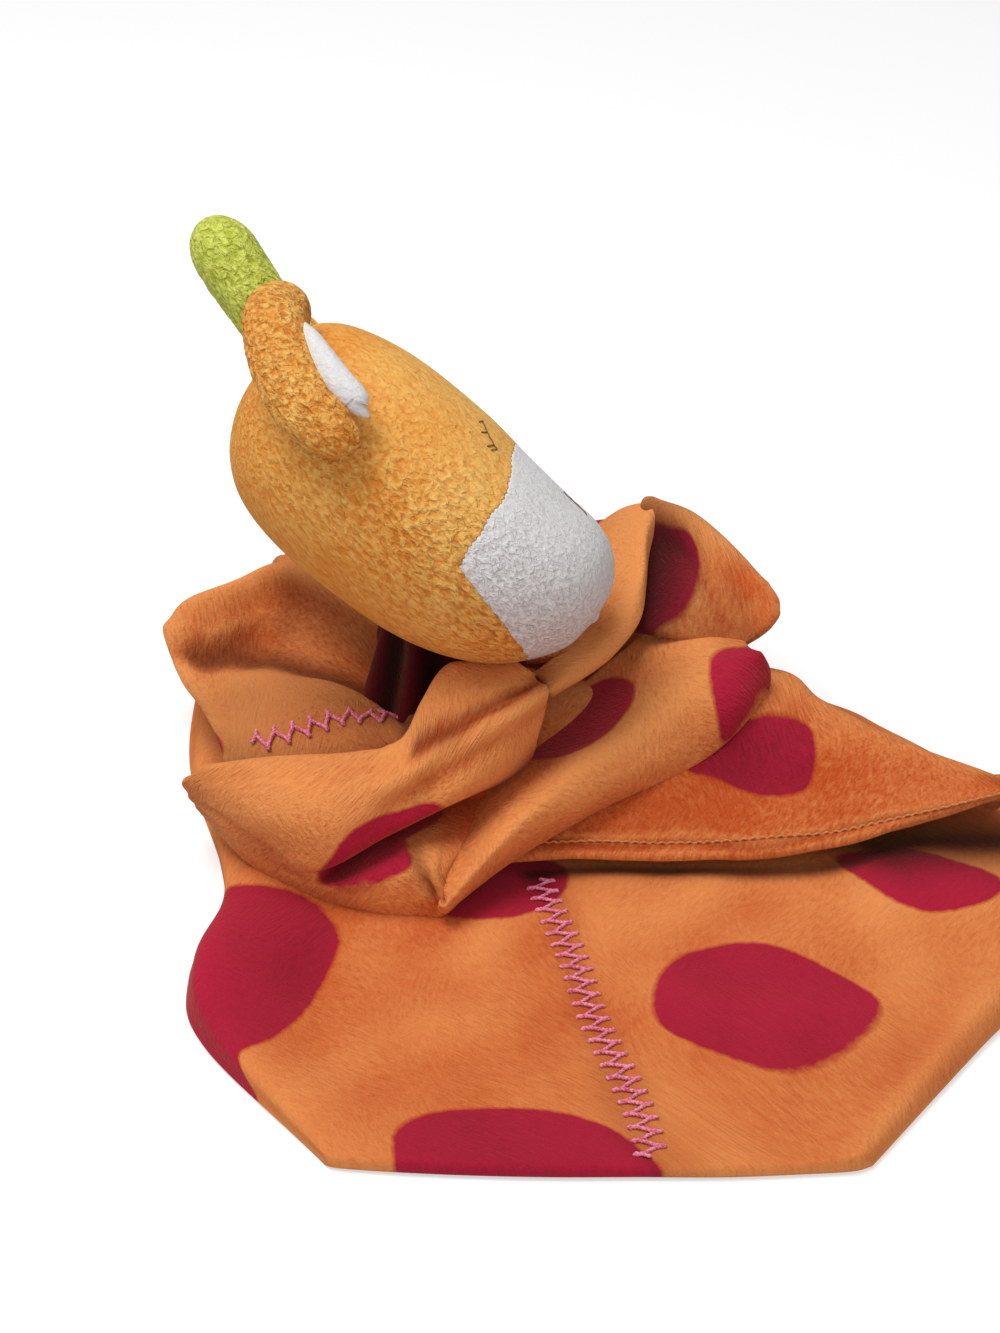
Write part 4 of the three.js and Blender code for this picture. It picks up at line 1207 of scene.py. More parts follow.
@dataclass(frozen=True)
class NeckGather:
    """The blanket's gathered middle, a thin pleated tube that rises to the neck."""

    place_shares: tuple[float, float] = (-0.075, 0.11)
    foot_radius: float = 26 * MM
    neck_radius: float = 15 * MM
    foot: float = 2 * MM
    height_share: float = 1.3
    pleats: int = 9
    pleat_depth: float = 2.4 * MM
    neck_pleat_share: float = 0.5
    pleat_wander: tuple[float, float] = (0.35, 0.25)
    wall: float = 2.6 * MM
    rim_share: float = 0.06
    # Painted shade: darker from the foot up to the neck under the head, and in the pleats' hollows
    foot_shade: float = 0.66
    neck_shade: float = 0.96
    hollow_shade: float = 0.1
    size: tuple[int, int] = (50, 181)
    flat: tuple[float, float] = (0.165, 0.065)
    blend_heights: tuple[float, float] = (30 * MM, 62 * MM)

    @property
    def middle(self) -> Array:
        """The tube's middle on the table."""
        return np.array([*self.place_shares, 0]) * HEAP_SPAN + HEAP_SHIFT

    @property
    def top(self) -> float:
        """How high the tube reaches."""
        return HEAP_HEIGHT * self.height_share

    def skin(self, rise: Array, angle: Array, inwards: float) -> Array:
        """Places on the tube.

        The radius eases from foot to neck with 3t^2 - 2t^3, plus the pleat depth times cos of pleats * angle.

        Args:
            rise: From 0 at the foot to 1 at the neck.
            angle: Round the tube.
            inwards: How far inside the skin.

        Returns:
            The places.
        """
        ease = rise**2 * (3 - 2 * rise)
        depth = self.pleat_depth * (1 - (1 - self.neck_pleat_share) * rise)
        first, second = self.pleat_wander
        wander = first * np.sin(2 * angle + 5 * rise) + second * np.sin(3 * angle - 4 * rise + 1)
        pleat = np.cos(self.pleats * angle + wander)
        radius = self.foot_radius + (self.neck_radius - self.foot_radius) * ease + depth * pleat - inwards
        height = self.foot + (self.top - self.foot) * rise
        return np.stack([radius * np.cos(angle), radius * np.sin(angle), height], axis=-1) + self.middle

    def build(self, wardrobe: Wardrobe) -> bpy.types.Object:
        """Makes the tube's outer and inner layers, closed at foot and neck, and dresses it.

        Args:
            wardrobe: Gives the velour.

        Returns:
            The piece.
        """
        rows, columns = (np.linspace(0, end, count) for end, count in zip((1, 2 * math.pi), self.size))
        rise, angle = np.meshgrid(rows, columns, indexing="ij")
        full = rounding(1 - np.abs(2 * rise - 1), self.rim_share)[..., None]
        middle = self.skin(rise, angle, self.wall / 2)
        outer, inner = (middle + (self.skin(rise, angle, wall) - middle) * full for wall in (0.0, self.wall))
        cloth = np.stack([angle * self.foot_radius, rise * self.top], axis=-1)
        # Painted light on the pleats' crests, and painted shade towards the neck and in their hollows
        pleat = np.cos(self.pleats * angle)
        shade = self.foot_shade + (self.neck_shade - self.foot_shade) * rise + self.hollow_shade * (1 - pleat)
        values = {"spot": np.full(rise.shape, -SPOT_FAR), "groove": np.clip(shade, 0, 1), "ridge": pleat}
        piece = closed_sheet("neck_gather", outer, inner, cloth, values)
        wardrobe.dress(piece, Finish.VELOUR, "blanket_neck_gather")
        low, high = ((*self.middle[:2], height) for height in self.blend_heights)
        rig.blend(piece, "blanket", "head", start=low, end=high)
        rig.sheet(piece, flat=self.flat, held="gathered", rests_on=["front_roll", "left_fold"])
        return piece


# The flap's topstitch between the raised lines of its hem, and the zigzags, in shares of the folds' nets
HEM_ROW, HEM_INNER_ROW, HEM_EDGE_ROW = 0.95, 0.925, 0.98
HEM_LINE = tuple((HEM_ROW, column) for column in (0.0, 0.18, 0.4, 0.6, 0.8, 0.98, 1.0))
FRONT_ZIGZAG = ((0.42, 0.409), (0.6, 0.431), (0.8, 0.458), (0.985, 0.51))
LEFT_ZIGZAG = ((0.885, 0.2), (0.868, 0.4), (0.838, 0.6), (0.75, 0.8), (0.64, 0.87))


def table_layer() -> Fold:
    """The wide layer that lies on the table.

    Returns:
        The fold.
    """
    left_big = ((0.43, 0.13), (0.45, 0.20), (0.50, 0.24), (0.58, 0.26), (0.71, 0.243), (0.81, 0.19),
                (0.865, 0.08), (0.86, -0.04), (0.44, -0.04))
    front_big = ((0.69, 0.50), (0.60, 0.523), (0.575, 0.573), (0.64, 0.623), (0.735, 0.677), (0.82, 0.667),
                 (0.86, 0.62), (0.83, 0.553), (0.78, 0.507))
    front_edge = ((0.97, 0.22), (0.92, 0.29), (0.917, 0.373), (0.933, 0.44), (0.975, 0.497), (1.05, 0.50),
                  (1.05, 0.20))
    under_roll = ((0.48, 0.333), (0.40, 0.37), (0.38, 0.41), (0.40, 0.43), (0.458, 0.425), (0.508, 0.39),
                  (0.512, 0.353))
    right = ((0.371, 0.64), (0.362, 0.707), (0.388, 0.77), (0.43, 0.807), (0.483, 0.79), (0.504, 0.727),
             (0.45, 0.677))
    back_left = ((0.07, 0.15), (0.05, 0.24), (0.12, 0.29), (0.19, 0.24), (0.18, 0.15))
    back_right = ((0.1, 0.7), (0.08, 0.79), (0.15, 0.83), (0.22, 0.78), (0.2, 0.7))
    # The seam's groove carries painted shade, and the two lines after it are painted shadow under the flap and its hem
    seam = Crease(FRONT_ZIGZAG, 0.35 * MM, 4.5 * MM, 0.2)
    painted_shadow_under_flap = Crease(((0.36, 0.69), (0.35, 0.72), (0.34, 0.76), (0.33, 0.8), (0.32, 0.85)), 0.0, 12 * MM,
                        0.98)
    painted_shadow_under_hem = Crease(((0.408, 0.4), (0.406, 0.5), (0.4, 0.6), (0.38, 0.67), (0.365, 0.73)), 0.0, 2.6 * MM,
                       0.9)
    return Fold(
        "table_layer", TABLE_LAYER_NET, (0.24, 0.22), ("floor",),
        (left_big, front_big, front_edge, under_roll, right, back_left, back_right),
        (seam, painted_shadow_under_flap, painted_shadow_under_hem), seed=3, ripple=0.55 * MM, on_table=True,
    )


def right_flap() -> Fold:
    """The hemmed flap that points to the right.

    Returns:
        The fold.
    """
    spot = ((0.73, 0.367), (0.655, 0.37), (0.62, 0.42), (0.605, 0.54), (0.65, 0.575), (0.735, 0.57),
            (0.78, 0.55), (0.775, 0.47))
    back = ((0.1, 0.2), (0.06, 0.35), (0.2, 0.45), (0.33, 0.35), (0.3, 0.2))
    # The topstitch groove carries painted shade; the raised lines beside it have none
    hem = Crease(HEM_LINE, 0.45 * MM, 1.2 * MM, 0.3)
    inner = Crease(tuple((HEM_INNER_ROW, column) for _, column in HEM_LINE), -0.5 * MM, 1.6 * MM)
    edge = Crease(tuple((HEM_EDGE_ROW, column) for _, column in HEM_LINE), -0.5 * MM, 2.6 * MM)
    return Fold("right_flap", RIGHT_FLAP_NET, (0.145, 0.095), ("table_layer",), (spot, back),
                (hem, inner, edge), seed=5, painted_light_offset=-0.5)


def middle_fold() -> Fold:
    """The broad fold between the roll and the pocket, with the lit corner at its right.

    Returns:
        The fold.
    """
    spot = ((0.125, 0.32), (0.07, 0.44), (0.06, 0.55), (0.145, 0.627), (0.283, 0.66), (0.38, 0.60),
            (0.417, 0.477), (0.36, 0.40))
    corner = ((0.4, 0.85), (0.3, 0.98), (0.3, 1.05), (0.75, 1.05), (0.86, 0.943), (0.92, 0.857),
              (0.967, 0.783), (0.89, 0.74))
    return Fold("middle_fold", MIDDLE_FOLD_NET, (0.12, 0.05), ("right_flap", "table_layer"),
                (spot, corner), (), seed=7)


def front_roll() -> Fold:
    """The roll under the head's left side, tucked in on itself.

    Returns:
        The fold.
    """
    tuck = ((0.70, 0.433), (0.6, 0.43), (0.458, 0.443), (0.4, 0.46), (0.39, 0.5), (0.4, 0.543), (0.43, 0.63),
            (0.471, 0.707), (0.58, 0.75), (0.671, 0.757), (0.70, 0.71), (0.712, 0.663), (0.745, 0.69),
            (0.771, 0.70), (0.79, 0.66), (0.80, 0.58), (0.797, 0.52), (0.775, 0.463), (0.735, 0.437))
    # Valleys with painted shade along them, and raised lines without
    creases = (
        Crease(((0.21, 1.0), (0.221, 0.933), (0.226, 0.87), (0.231, 0.78), (0.222, 0.69), (0.185, 0.62)),
               1.8 * MM, 2.2 * MM, 0.45),
        Crease(((0.27, 0.973), (0.272, 0.89), (0.285, 0.797), (0.285, 0.667), (0.25, 0.547), (0.24, 0.423)),
               -1.1 * MM, 3.0 * MM),
        Crease(((0.13, 0.84), (0.12, 0.72), (0.12, 0.637), (0.133, 0.527)), -1.2 * MM, 3.2 * MM),
        Crease(((0.74, 0.705), (0.792, 0.72), (0.833, 0.73), (0.88, 0.737)), 0.5 * MM, 2.2 * MM, 0.5),
        Crease(((0.72, 0.66), (0.8, 0.683), (0.9, 0.69)), -1.1 * MM, 1.8 * MM),
        Crease(((0.74, 0.79), (0.8, 0.79), (0.875, 0.78)), -1.0 * MM, 1.8 * MM),
    )
    return Fold("front_roll", FRONT_ROLL_NET, (0.105, 0.085), ("table_layer", "middle_fold"), (tuck,),
                creases, seed=9, painted_light_offset=-0.1)


def left_fold() -> Fold:
    """The high fold at the left, with the second zigzag seam.

    Returns:
        The fold.
    """
    dark = ((0.35, 0.837), (0.34, 0.92), (0.338, 1.05), (0.45, 1.05), (0.55, 0.94), (0.45, 0.85))
    small = ((0.80, -0.05), (0.84, 0.02), (0.93, 0.02), (0.95, -0.05))
    back = ((0.02, 0.35), (0.02, 0.6), (0.1, 0.65), (0.13, 0.45), (0.1, 0.3))
    # The zigzag's groove and a deep valley, both with painted shade, lines of painted shade alone, and a raised line
    creases = (
        Crease(LEFT_ZIGZAG, 0.35 * MM, 4.5 * MM, 0.2),
        Crease(((0.4, 0.1), (0.488, 0.25), (0.538, 0.35), (0.562, 0.537), (0.575, 0.737), (0.64, 0.9)),
               2.6 * MM, 5.5 * MM, 0.72),
        Crease(((0.75, 0.1), (0.78, 0.3), (0.8, 0.5), (0.82, 0.75)), 0.0, 16 * MM, 0.3),
        Crease(((0.3, 0.55), (0.36, 0.75), (0.45, 0.95), (0.6, 1.05)), 0.0, 9 * MM, 0.5),
        Crease(((0.4, 0.98), (0.6, 1.0), (0.8, 1.0)), 0.0, 8 * MM, 0.8),
        Crease(((0.98, 0.1), (0.97, 0.5), (0.93, 0.95)), 0.0, 7 * MM, 0.35),
        Crease(((0.25, 0.06), (0.396, 0.04), (0.583, 0.04), (0.78, 0.03)), -1.0 * MM, 3.5 * MM),
    )
    return Fold("left_fold", LEFT_FOLD_NET, (0.085, 0.125), ("table_layer", "front_roll"),
                (dark, small, back), creases, seed=11, edge_ridge=0.9, painted_light_offset=0.5)


def upright_fold() -> Fold:
    """The back wall of the pocket at the right.

    Returns:
        The fold.
    """
    pocket = ((0.97, 0), (0.7, -0.05), (0.521, 0.073), (0.517, 0.203), (0.512, 0.34), (0.546, 0.4),
              (0.625, 0.44), (0.792, 0.437), (0.9, 0.4), (0.971, 0.26), (1.03, 0.1))
    back = ((0.28, 0.3), (0.3, 0.6), (0.15, 0.75), (0.03, 0.5), (0.1, 0.25))
    # Two bands of painted shade with no depth, one in the pocket, and a shallow valley with painted shade
    shades = (
        Crease(((0.98, 0.0), (0.8, 0.06), (0.55, 0.14)), 0.0, 13 * MM, 0.9),
        Crease(((0.98, 0.4), (0.97, 0.7), (0.95, 0.95)), 0.0, 8 * MM, 0.4),
        Crease(((0.56, 0.3), (0.66, 0.44), (0.8, 0.62)), 0.7 * MM, 4 * MM, 0.22),
    )
    return Fold("upright_fold", UPRIGHT_FOLD_NET, (0.052, 0.105), ("table_layer", "middle_fold"),
                (pocket, back), shades, seed=13)


def rolled_edge() -> Fold:
    """The rounded edge that runs from the pocket's top down under the muzzle.

    Returns:
        The fold.
    """
    return Fold("rolled_edge", ROLLED_EDGE_NET, (0.077, 0.025), ("upright_fold", "middle_fold"),
                (), (), seed=15, painted_light_offset=0.4)


def back_fold() -> Fold:
    """The fold behind the neck.

    Returns:
        The fold.
    """
    left = ((0.65, 0.25), (0.7, 0.45), (0.5, 0.55), (0.25, 0.5), (0.2, 0.25), (0.4, 0.15))
    right = ((0.7, 0.85), (0.72, 1.05), (0.4, 1.05), (0.35, 0.9), (0.55, 0.8))
    return Fold("back_fold", BACK_FOLD_NET, (0.105, 0.1), ("table_layer", "left_fold"), (left, right), (),
                seed=17)


@dataclass(frozen=True)
class Blanket:
    """The spotted velour square, gathered and heaped, with its sewn seams."""

    wardrobe: Wardrobe
    gather: NeckGather = NeckGather()

    def build(self) -> None:
        """Makes every fold, the gather and the threads on them."""
        folds = {}
        for maker in (table_layer, right_flap, middle_fold, front_roll, left_fold, upright_fold, rolled_edge,
                      back_fold):
            folds[maker] = maker()
            folds[maker].build(self.wardrobe)
        self.gather.build(self.wardrobe)
        zigzag = {"finish": Finish.PINK_THREAD, "loop": 0.5 * MM}
        front = SeamThread("front_zigzag", "front_zigzag_thread", FRONT_ZIGZAG, swing=9.2 * MM,
                           pitch=4.7 * MM, radius=0.32 * MM, **zigzag)
        left = SeamThread("left_zigzag", "left_zigzag_thread", LEFT_ZIGZAG, swing=7.8 * MM,
                          pitch=5.2 * MM, radius=0.36 * MM, **zigzag)
        hem = SeamThread("hem_topstitch", "flap_hem_topstitch", HEM_LINE, Finish.HEM_THREAD, swing=0.0,
                         pitch=2.4 * MM, radius=0.3 * MM, plies=1, dive=0.4 * MM, turn_steps=24)
        front.build(folds[table_layer], self.wardrobe)
        left.build(folds[left_fold], self.wardrobe)
        hem.build(folds[right_flap], self.wardrobe)


# The head

# Where along the head, its back and its face there, as shares of length and depth, and its width share
HEAD_SECTION_SHARES = (
    (-0.498, 0.03, 0.16, 0.08), (-0.48, -0.14, 0.31, 0.37), (-0.427, -0.3, 0.42, 0.64),
    (-0.338, -0.414, 0.484, 0.83), (-0.196, -0.477, 0.516, 0.96), (0, -0.492, 0.5, 1),
    (0.142, -0.477, 0.461, 0.96), (0.267, -0.422, 0.43, 0.88), (0.373, -0.328, 0.406, 0.75),
    (0.444, -0.203, 0.344, 0.59), (0.489, -0.08, 0.234, 0.35), (0.502, 0.05, 0.11, 0.08),
)
# How far past its end sections the head closes, as a share of its length, and the rise of that dome
CAP_SHARE = 0.02
CAP_RISE = 0.7 * MM
# The muzzle's seam from the brow down across the cheek, then along the jaw, in shares of length and depth
MUZZLE_SEAM_SHARES = ((0.107, 0.44), (0.168, 0.257), (0.182, -0.118), (0.5, -0.26))
SEAM_WANDER_SHARE = 0.0035
SEAM_SAMPLES = 1201
SEAT_GAP = 0.3 * MM
SEAM_GAP = 0.04 * MM
# How plush fills up with the noise that makes its curls
CURL_SHARPNESS = 0.35
CURL_WAVES = 40
# Threads on the face, as places along the head and round it in shares of half a turn
EYE = ((0.463, 0.158), (0.479, 0.189), (0.499, 0.211), (0.507, 0.215))
LASHES = (
    ((0.463, 0.158), (0.461, 0.178)),
    ((0.479, 0.189), (0.473, 0.211)),
    ((0.499, 0.211), (0.493, 0.239)),
    ((0.507, 0.215), (0.501, 0.239)),
)
NOSTRIL = ((0.633, 0.09), (0.655, 0.095), (0.681, 0.1), (0.697, 0.114))


def turned(points: Array, angle: float, axis: int) -> Array:
    """Points turned about the x axis (0) or the z axis (2).

    Args:
        points: Points by 3.
        angle: The turn, anticlockwise, seen against the axis.
        axis: The axis.

    Returns:
        The turned points.
    """
    first, second = {0: (1, 2), 2: (0, 1)}[axis]
    moved = points.copy()
    moved[..., first] = math.cos(angle) * points[..., first] - math.sin(angle) * points[..., second]
    moved[..., second] = math.sin(angle) * points[..., first] + math.cos(angle) * points[..., second]
    return moved


def from_head(points: Array, mirror: int = 1) -> Array:
    """Places in the head's own frame, set in the heap: drooped about z, leaned about x, then moved.

    Args:
        points: The places, by 3.
        mirror: -1 takes them to the other side of the head first.

    Returns:
        The places in the heap.
    """
    x, y, z = HEAD_PLACE_SHARES
    place = np.array([x * HEAP_SPAN, y * HEAP_SPAN, z * HEAP_HEIGHT]) + HEAP_SHIFT
    return turned(turned(points * np.array([1, 1, mirror]), HEAD_DROOP, 2), HEAD_LEAN, 0) + place


def head_place(shares: Array | tuple) -> Array:
    """Shares of the head's length, depth and half width as places in its own frame."""
    return np.array(shares) * np.array([HEAD_LENGTH, HEAD_DEPTH, HEAD_WIDTH / 2])


def head_skin(along: Array, angle: Array, lift: float | Array) -> Array:
    """Places on the head in its own frame.

    At a share of its length the head is an oval: y = middle + half depth * cos(angle), z = half width *
    sin(angle), angle 0 being the face. Below 0 and above 1 the oval closes to a point with a shallow dome.

    Args:
        along: From 0 at the crown to 1 at the muzzle's tip.
        angle: Round the head.
        lift: How far outside the skin.

    Returns:
        The places.
    """
    held = np.clip(along, 0, 1)
    sections = smooth_through(np.array(HEAD_SECTION_SHARES), held.ravel(), 0).reshape(*held.shape, 4)
    reach, back, face, width = np.moveaxis(sections, -1, 0)
    closing = np.clip(1 - np.abs(along - held) / CAP_SHARE, 0, 1)
    half_width = (width * HEAD_WIDTH / 2 + lift) * closing
    half_depth = ((face - back) / 2 * HEAD_DEPTH + lift) * closing
    x = reach * (HEAD_LENGTH + 2 * lift) + np.sign(along - held) * CAP_RISE * (1 - closing**2)
    y = (back + face) / 2 * HEAD_DEPTH + half_depth * np.cos(angle)
    return np.stack([x, y, half_width * np.sin(angle)], axis=-1)


def in_muzzle(points: Array) -> Array:
    """Whether places in the head's frame lie past the muzzle's seam: across the cheek, then along the jaw.

    Args:
        points: The places.

    Returns:
        One answer for each place.
    """
    seam = np.array(MUZZLE_SEAM_SHARES) * np.array([HEAD_LENGTH, HEAD_DEPTH])
    cheek = np.interp(points[..., 1], seam[2::-1, 1], seam[2::-1, 0])
    jaw = np.interp(points[..., 0], seam[2:, 0], seam[2:, 1])
    return (points[..., 0] > cheek) & (points[..., 1] > jaw)


def seam_along(angle: Array) -> Array:
    """Where the muzzle's seam crosses the head.

    The pile hides the seam's straight run, so it wanders by its share * sin(61 angle) * sin(43 angle + 1).

    Args:
        angle: Angles round the head.

    Returns:
        The share of the head's length at each angle.
    """
    along = np.linspace(0, 1, SEAM_SAMPLES)
    inside = in_muzzle(head_skin(*np.meshgrid(along, angle, indexing="xy"), 0.0))
    straight = along[np.where(inside.any(axis=1), inside.argmax(axis=1), len(along) - 1)]
    return straight + SEAM_WANDER_SHARE * np.sin(61 * angle) * np.sin(43 * angle + 1)


def curls(points: Array, seed: int, size: float, stretch: float) -> Array:
    """How full plush is, from 0 in its gaps to 1 on its curls.

    1 - e^-(n / sharpness)^2, n being smooth noise.

    Args:
        points: Places in the head's frame.
        seed: Makes the noise the same each time.
        size: The noise's wavelength.
        stretch: Draws the curls out along the head by 1 / stretch.

    Returns:
        One value for each place.
    """
    noise = soft_noise(points * np.array([stretch, 1, 1]), size, seed, CURL_WAVES)
    return 1 - np.exp(-((noise / CURL_SHARPNESS) ** 2))


def curled(rings: Array, path: Array, height: float | Array, curl: Array) -> Array:
    """Rings pushed away from their middles by a height times how far their curls stand off the skin."""
    return rings + unit(rings - path[:, None]) * (height * (curl - CURL_MEAN))[..., None]


def lit(points: Array) -> Array:
    """Painted light on the plush in the head's frame: 1, paler, on the brow's side, -1, darker, on the jaw's side."""
    return np.clip(points[..., 1] / (HEAD_DEPTH / 2), -1, 1)


@dataclass(frozen=True)
class HeadCover:
    """A panel of the head's cover, between two angles and two shares of its length, with rounded seam edges.

    Its side is 1 for the right panel, -1 for the left one and 0 for the muzzle's ring.
    """

    name: str
    node: str
    finish: Finish
    flat: tuple[float, float]
    area: float
    side: int = 0
    size: tuple[int, int] = (210, 190)
    crowding: float = 0.4
    curl_size: float = 3.0 * MM
    curl_height: float = 0.12 * MM
    curl_stretch: float = 0.7
    calm_curl: float = 0.2
    # The plush is roughest under the jaw's line, and rougher towards the muzzle
    rough_middle: float = -0.25
    rough_spread: float = 0.6
    rough_growth: float = 1.4
    rough_least: float = 0.3
    seam_rim: float = 0.45 * MM
    seam_depth: float = 0.12 * MM
    seed: int = 31

    def parameters(self) -> tuple[Array, Array]:
        """Shares along the head and angles round it, as grids: the orange panel's, or the muzzle's ring.

        Returns:
            Both grids, with a column for each step along the head.
        """
        count, round_count = self.size
        if self.side:
            angle = np.linspace(0, math.pi, round_count)
            low, high = np.full(round_count, -CAP_SHARE), seam_along(angle)
        else:
            angle = np.linspace(-math.pi, math.pi, round_count)
            low, high = seam_along(np.abs(angle)), np.full(round_count, 1 + CAP_SHARE)
        share = (1 - self.crowding) * np.linspace(0, 1, count) + self.crowding * crowded(count)
        return low[:, None] + (high - low)[:, None] * share, np.repeat(angle[:, None], count, axis=1)

    def roughness(self, along: Array, bare: Array) -> Array:
        """How shaggy the plush is: a bell curve over its height on the head, times its growth along it."""
        across = np.exp(-(((lit(bare) - self.rough_middle) / self.rough_spread) ** 2))
        return across * np.clip(self.rough_growth * along, self.rough_least, 1)

    def from_seam(self, bare: Array) -> Array:
        """The distance to the panel's sewn edges: the muzzle's seam, and the middle where a side panel ends.

        Args:
            bare: The panel's places without its plush.

        Returns:
            The distance of each place.
        """
        column = -1 if self.side else 0
        edge = bare[::2, column]
        away = np.stack([np.linalg.norm(bare - place, axis=-1) for place in edge]).min(axis=0)
        away[:, column] = 0
        return np.minimum(away, np.abs(bare[..., 2])) if self.side else away

    def build(self, wardrobe: Wardrobe) -> bpy.types.Object:
        """Makes the panel's plush outside and its backing, and dresses it.

        Args:
            wardrobe: Gives the plush.

        Returns:
            The piece.
        """
        along, angle = self.parameters()
        bare = head_skin(along, angle, 0.0)
        fullness = rounding(self.from_seam(bare), self.seam_rim)
        shag = self.roughness(along, bare)
        curl = curls(bare, self.seed + self.side, self.curl_size, self.curl_stretch)
        lift = self.curl_height * (self.calm_curl + (1 - self.calm_curl) * shag) * (curl - CURL_MEAN)
        sewn = self.seam_depth + (HEAD_COVER_WALL / 2 - self.seam_depth) * fullness
        middle = head_skin(along, angle, -sewn)
        outer, inner = (
            middle + (head_skin(along, angle, level) - middle) * fullness[..., None]
            for level in (lift, -HEAD_COVER_WALL)
        )
        for layer in (outer, inner):
            layer[..., 2 if self.side else 0] += SEAM_GAP / 2 if self.side else SEAM_GAP
        # Painted light on the plush: paler on the brow's side, darker on the jaw's side
        values = {"tint": lit(outer), "shag": shag, "curl": curl}
        mirror = self.side or 1
        piece = closed_sheet(self.name, from_head(outer, mirror), from_head(inner, mirror), None, values)
        wardrobe.dress(piece, self.finish, self.node, "head")
        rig.sheet(piece, flat=self.flat, held="stretched", rests_on=["head_filling"], area=self.area)
        return piece


@dataclass(frozen=True)
class FaceStitch:
    """A thread embroidered on the face, as places along the head and round it in shares of half a turn."""

    name: str
    node: str
    lines: tuple[Shares, ...]
    side: int
    radius: float = 0.17 * MM
    stitch: float = 2.6 * MM
    lie: float = 1.5
    dive: float = 0.9
    samples: int = 60

    def build(self, wardrobe: Wardrobe) -> bpy.types.Object:
        """Lays the thread on the plush, dipping into it between stitches, and dresses it.

        Args:
            wardrobe: Gives the thread's finish.

        Returns:
            The piece.
        """
        tubes = []
        for line in self.lines:
            along, turn = smooth_through(np.array(line), self.samples, 0).T
            angle = self.side * turn * math.pi
            skin = head_skin(along, angle, 0.0)
            out = unit(head_skin(along, angle, MM) - skin)
            dip = 0.5 - 0.5 * np.cos(2 * math.pi * run_lengths(skin) / self.stitch)
            path = skin + out * (self.radius * (self.lie - self.dive * dip))[:, None]
            tubes.append(from_head(rings_round(path, out, self.radius, self.radius, THREAD_SIDES)))
        piece = closed_tubes(self.name, tubes)
        wardrobe.dress(piece, Finish.DARK_THREAD, self.node, "head")
        return piece


# Ears and horns, with places in shares of the head's length, depth and half width

ACROSS_HEAD = np.array([0.0, 0.0, 1.0])
# How far from its root an ear or a horn has left the head's body for its own
ROOT_REACH = 12 * MM
EAR_PATH = (
    (-0.451, 0.279, 0.45), (-0.506, 0.305, 0.62), (-0.503, 0.256, 0.8), (-0.452, 0.166, 0.97),
    (-0.381, 0.081, 1.08), (-0.299, 0.023, 1.14), (-0.214, 0.015, 1.16), (-0.158, 0.05, 1.14),
)
HORN_ROOT = (-0.41, 0.19, 0.27)
HORN_TIP = (-0.8, 0.425, 0.31)


def root_band(root: Place, beyond: Place, mirror: int) -> dict[str, Place]:
    """Where an ear or a horn starts to move with its own body, and where it has left the head.

    Args:
        root: Where it grows from the head.
        beyond: A place further along it.
        mirror: 1 on the right side, -1 on the left one.

    Returns:
        Both places in the heap, as the blend takes them.
    """
    start, away = (from_head(head_place(place), mirror) for place in (root, beyond))
    return {"start": tuple(start), "end": tuple(start + unit(away - start) * ROOT_REACH)}


@dataclass(frozen=True)
class Leaf:
    """One layer of an ear: an oval carried along a path beside the ear's middle line.

    Its sizes are shares of its width and thickness, evenly spaced from its start to its end.
    """

    piece: str
    node: str
    start_share: float
    offset: float
    width: float
    thickness: float
    sizes: Shares
    finish: Finish
    pile: float
    shag: float
    fill: float


EAR_LEAVES = (
    Leaf("ear_outside", "ear_back", 0.0, 0.0, 16.5 * MM, 11 * MM,
         ((0.62, 0.6), (0.94, 0.95), (1, 1), (1, 1), (1, 1), (0.96, 1), (0.8, 0.8), (0.36, 0.36)),
         Finish.HEAD_PLUSH, 0.3 * MM, 0.8, 0.4),
    Leaf("ear_inside", "ear_lining", 0.32, 10.5 * MM, 7.5 * MM, 6 * MM,
         ((0.3, 0.5), (0.72, 0.9), (0.94, 1), (1, 1), (0.86, 0.9), (0.36, 0.5)),
         Finish.WHITE_PLUSH, 0.05 * MM, 0.0, 0.3),
)


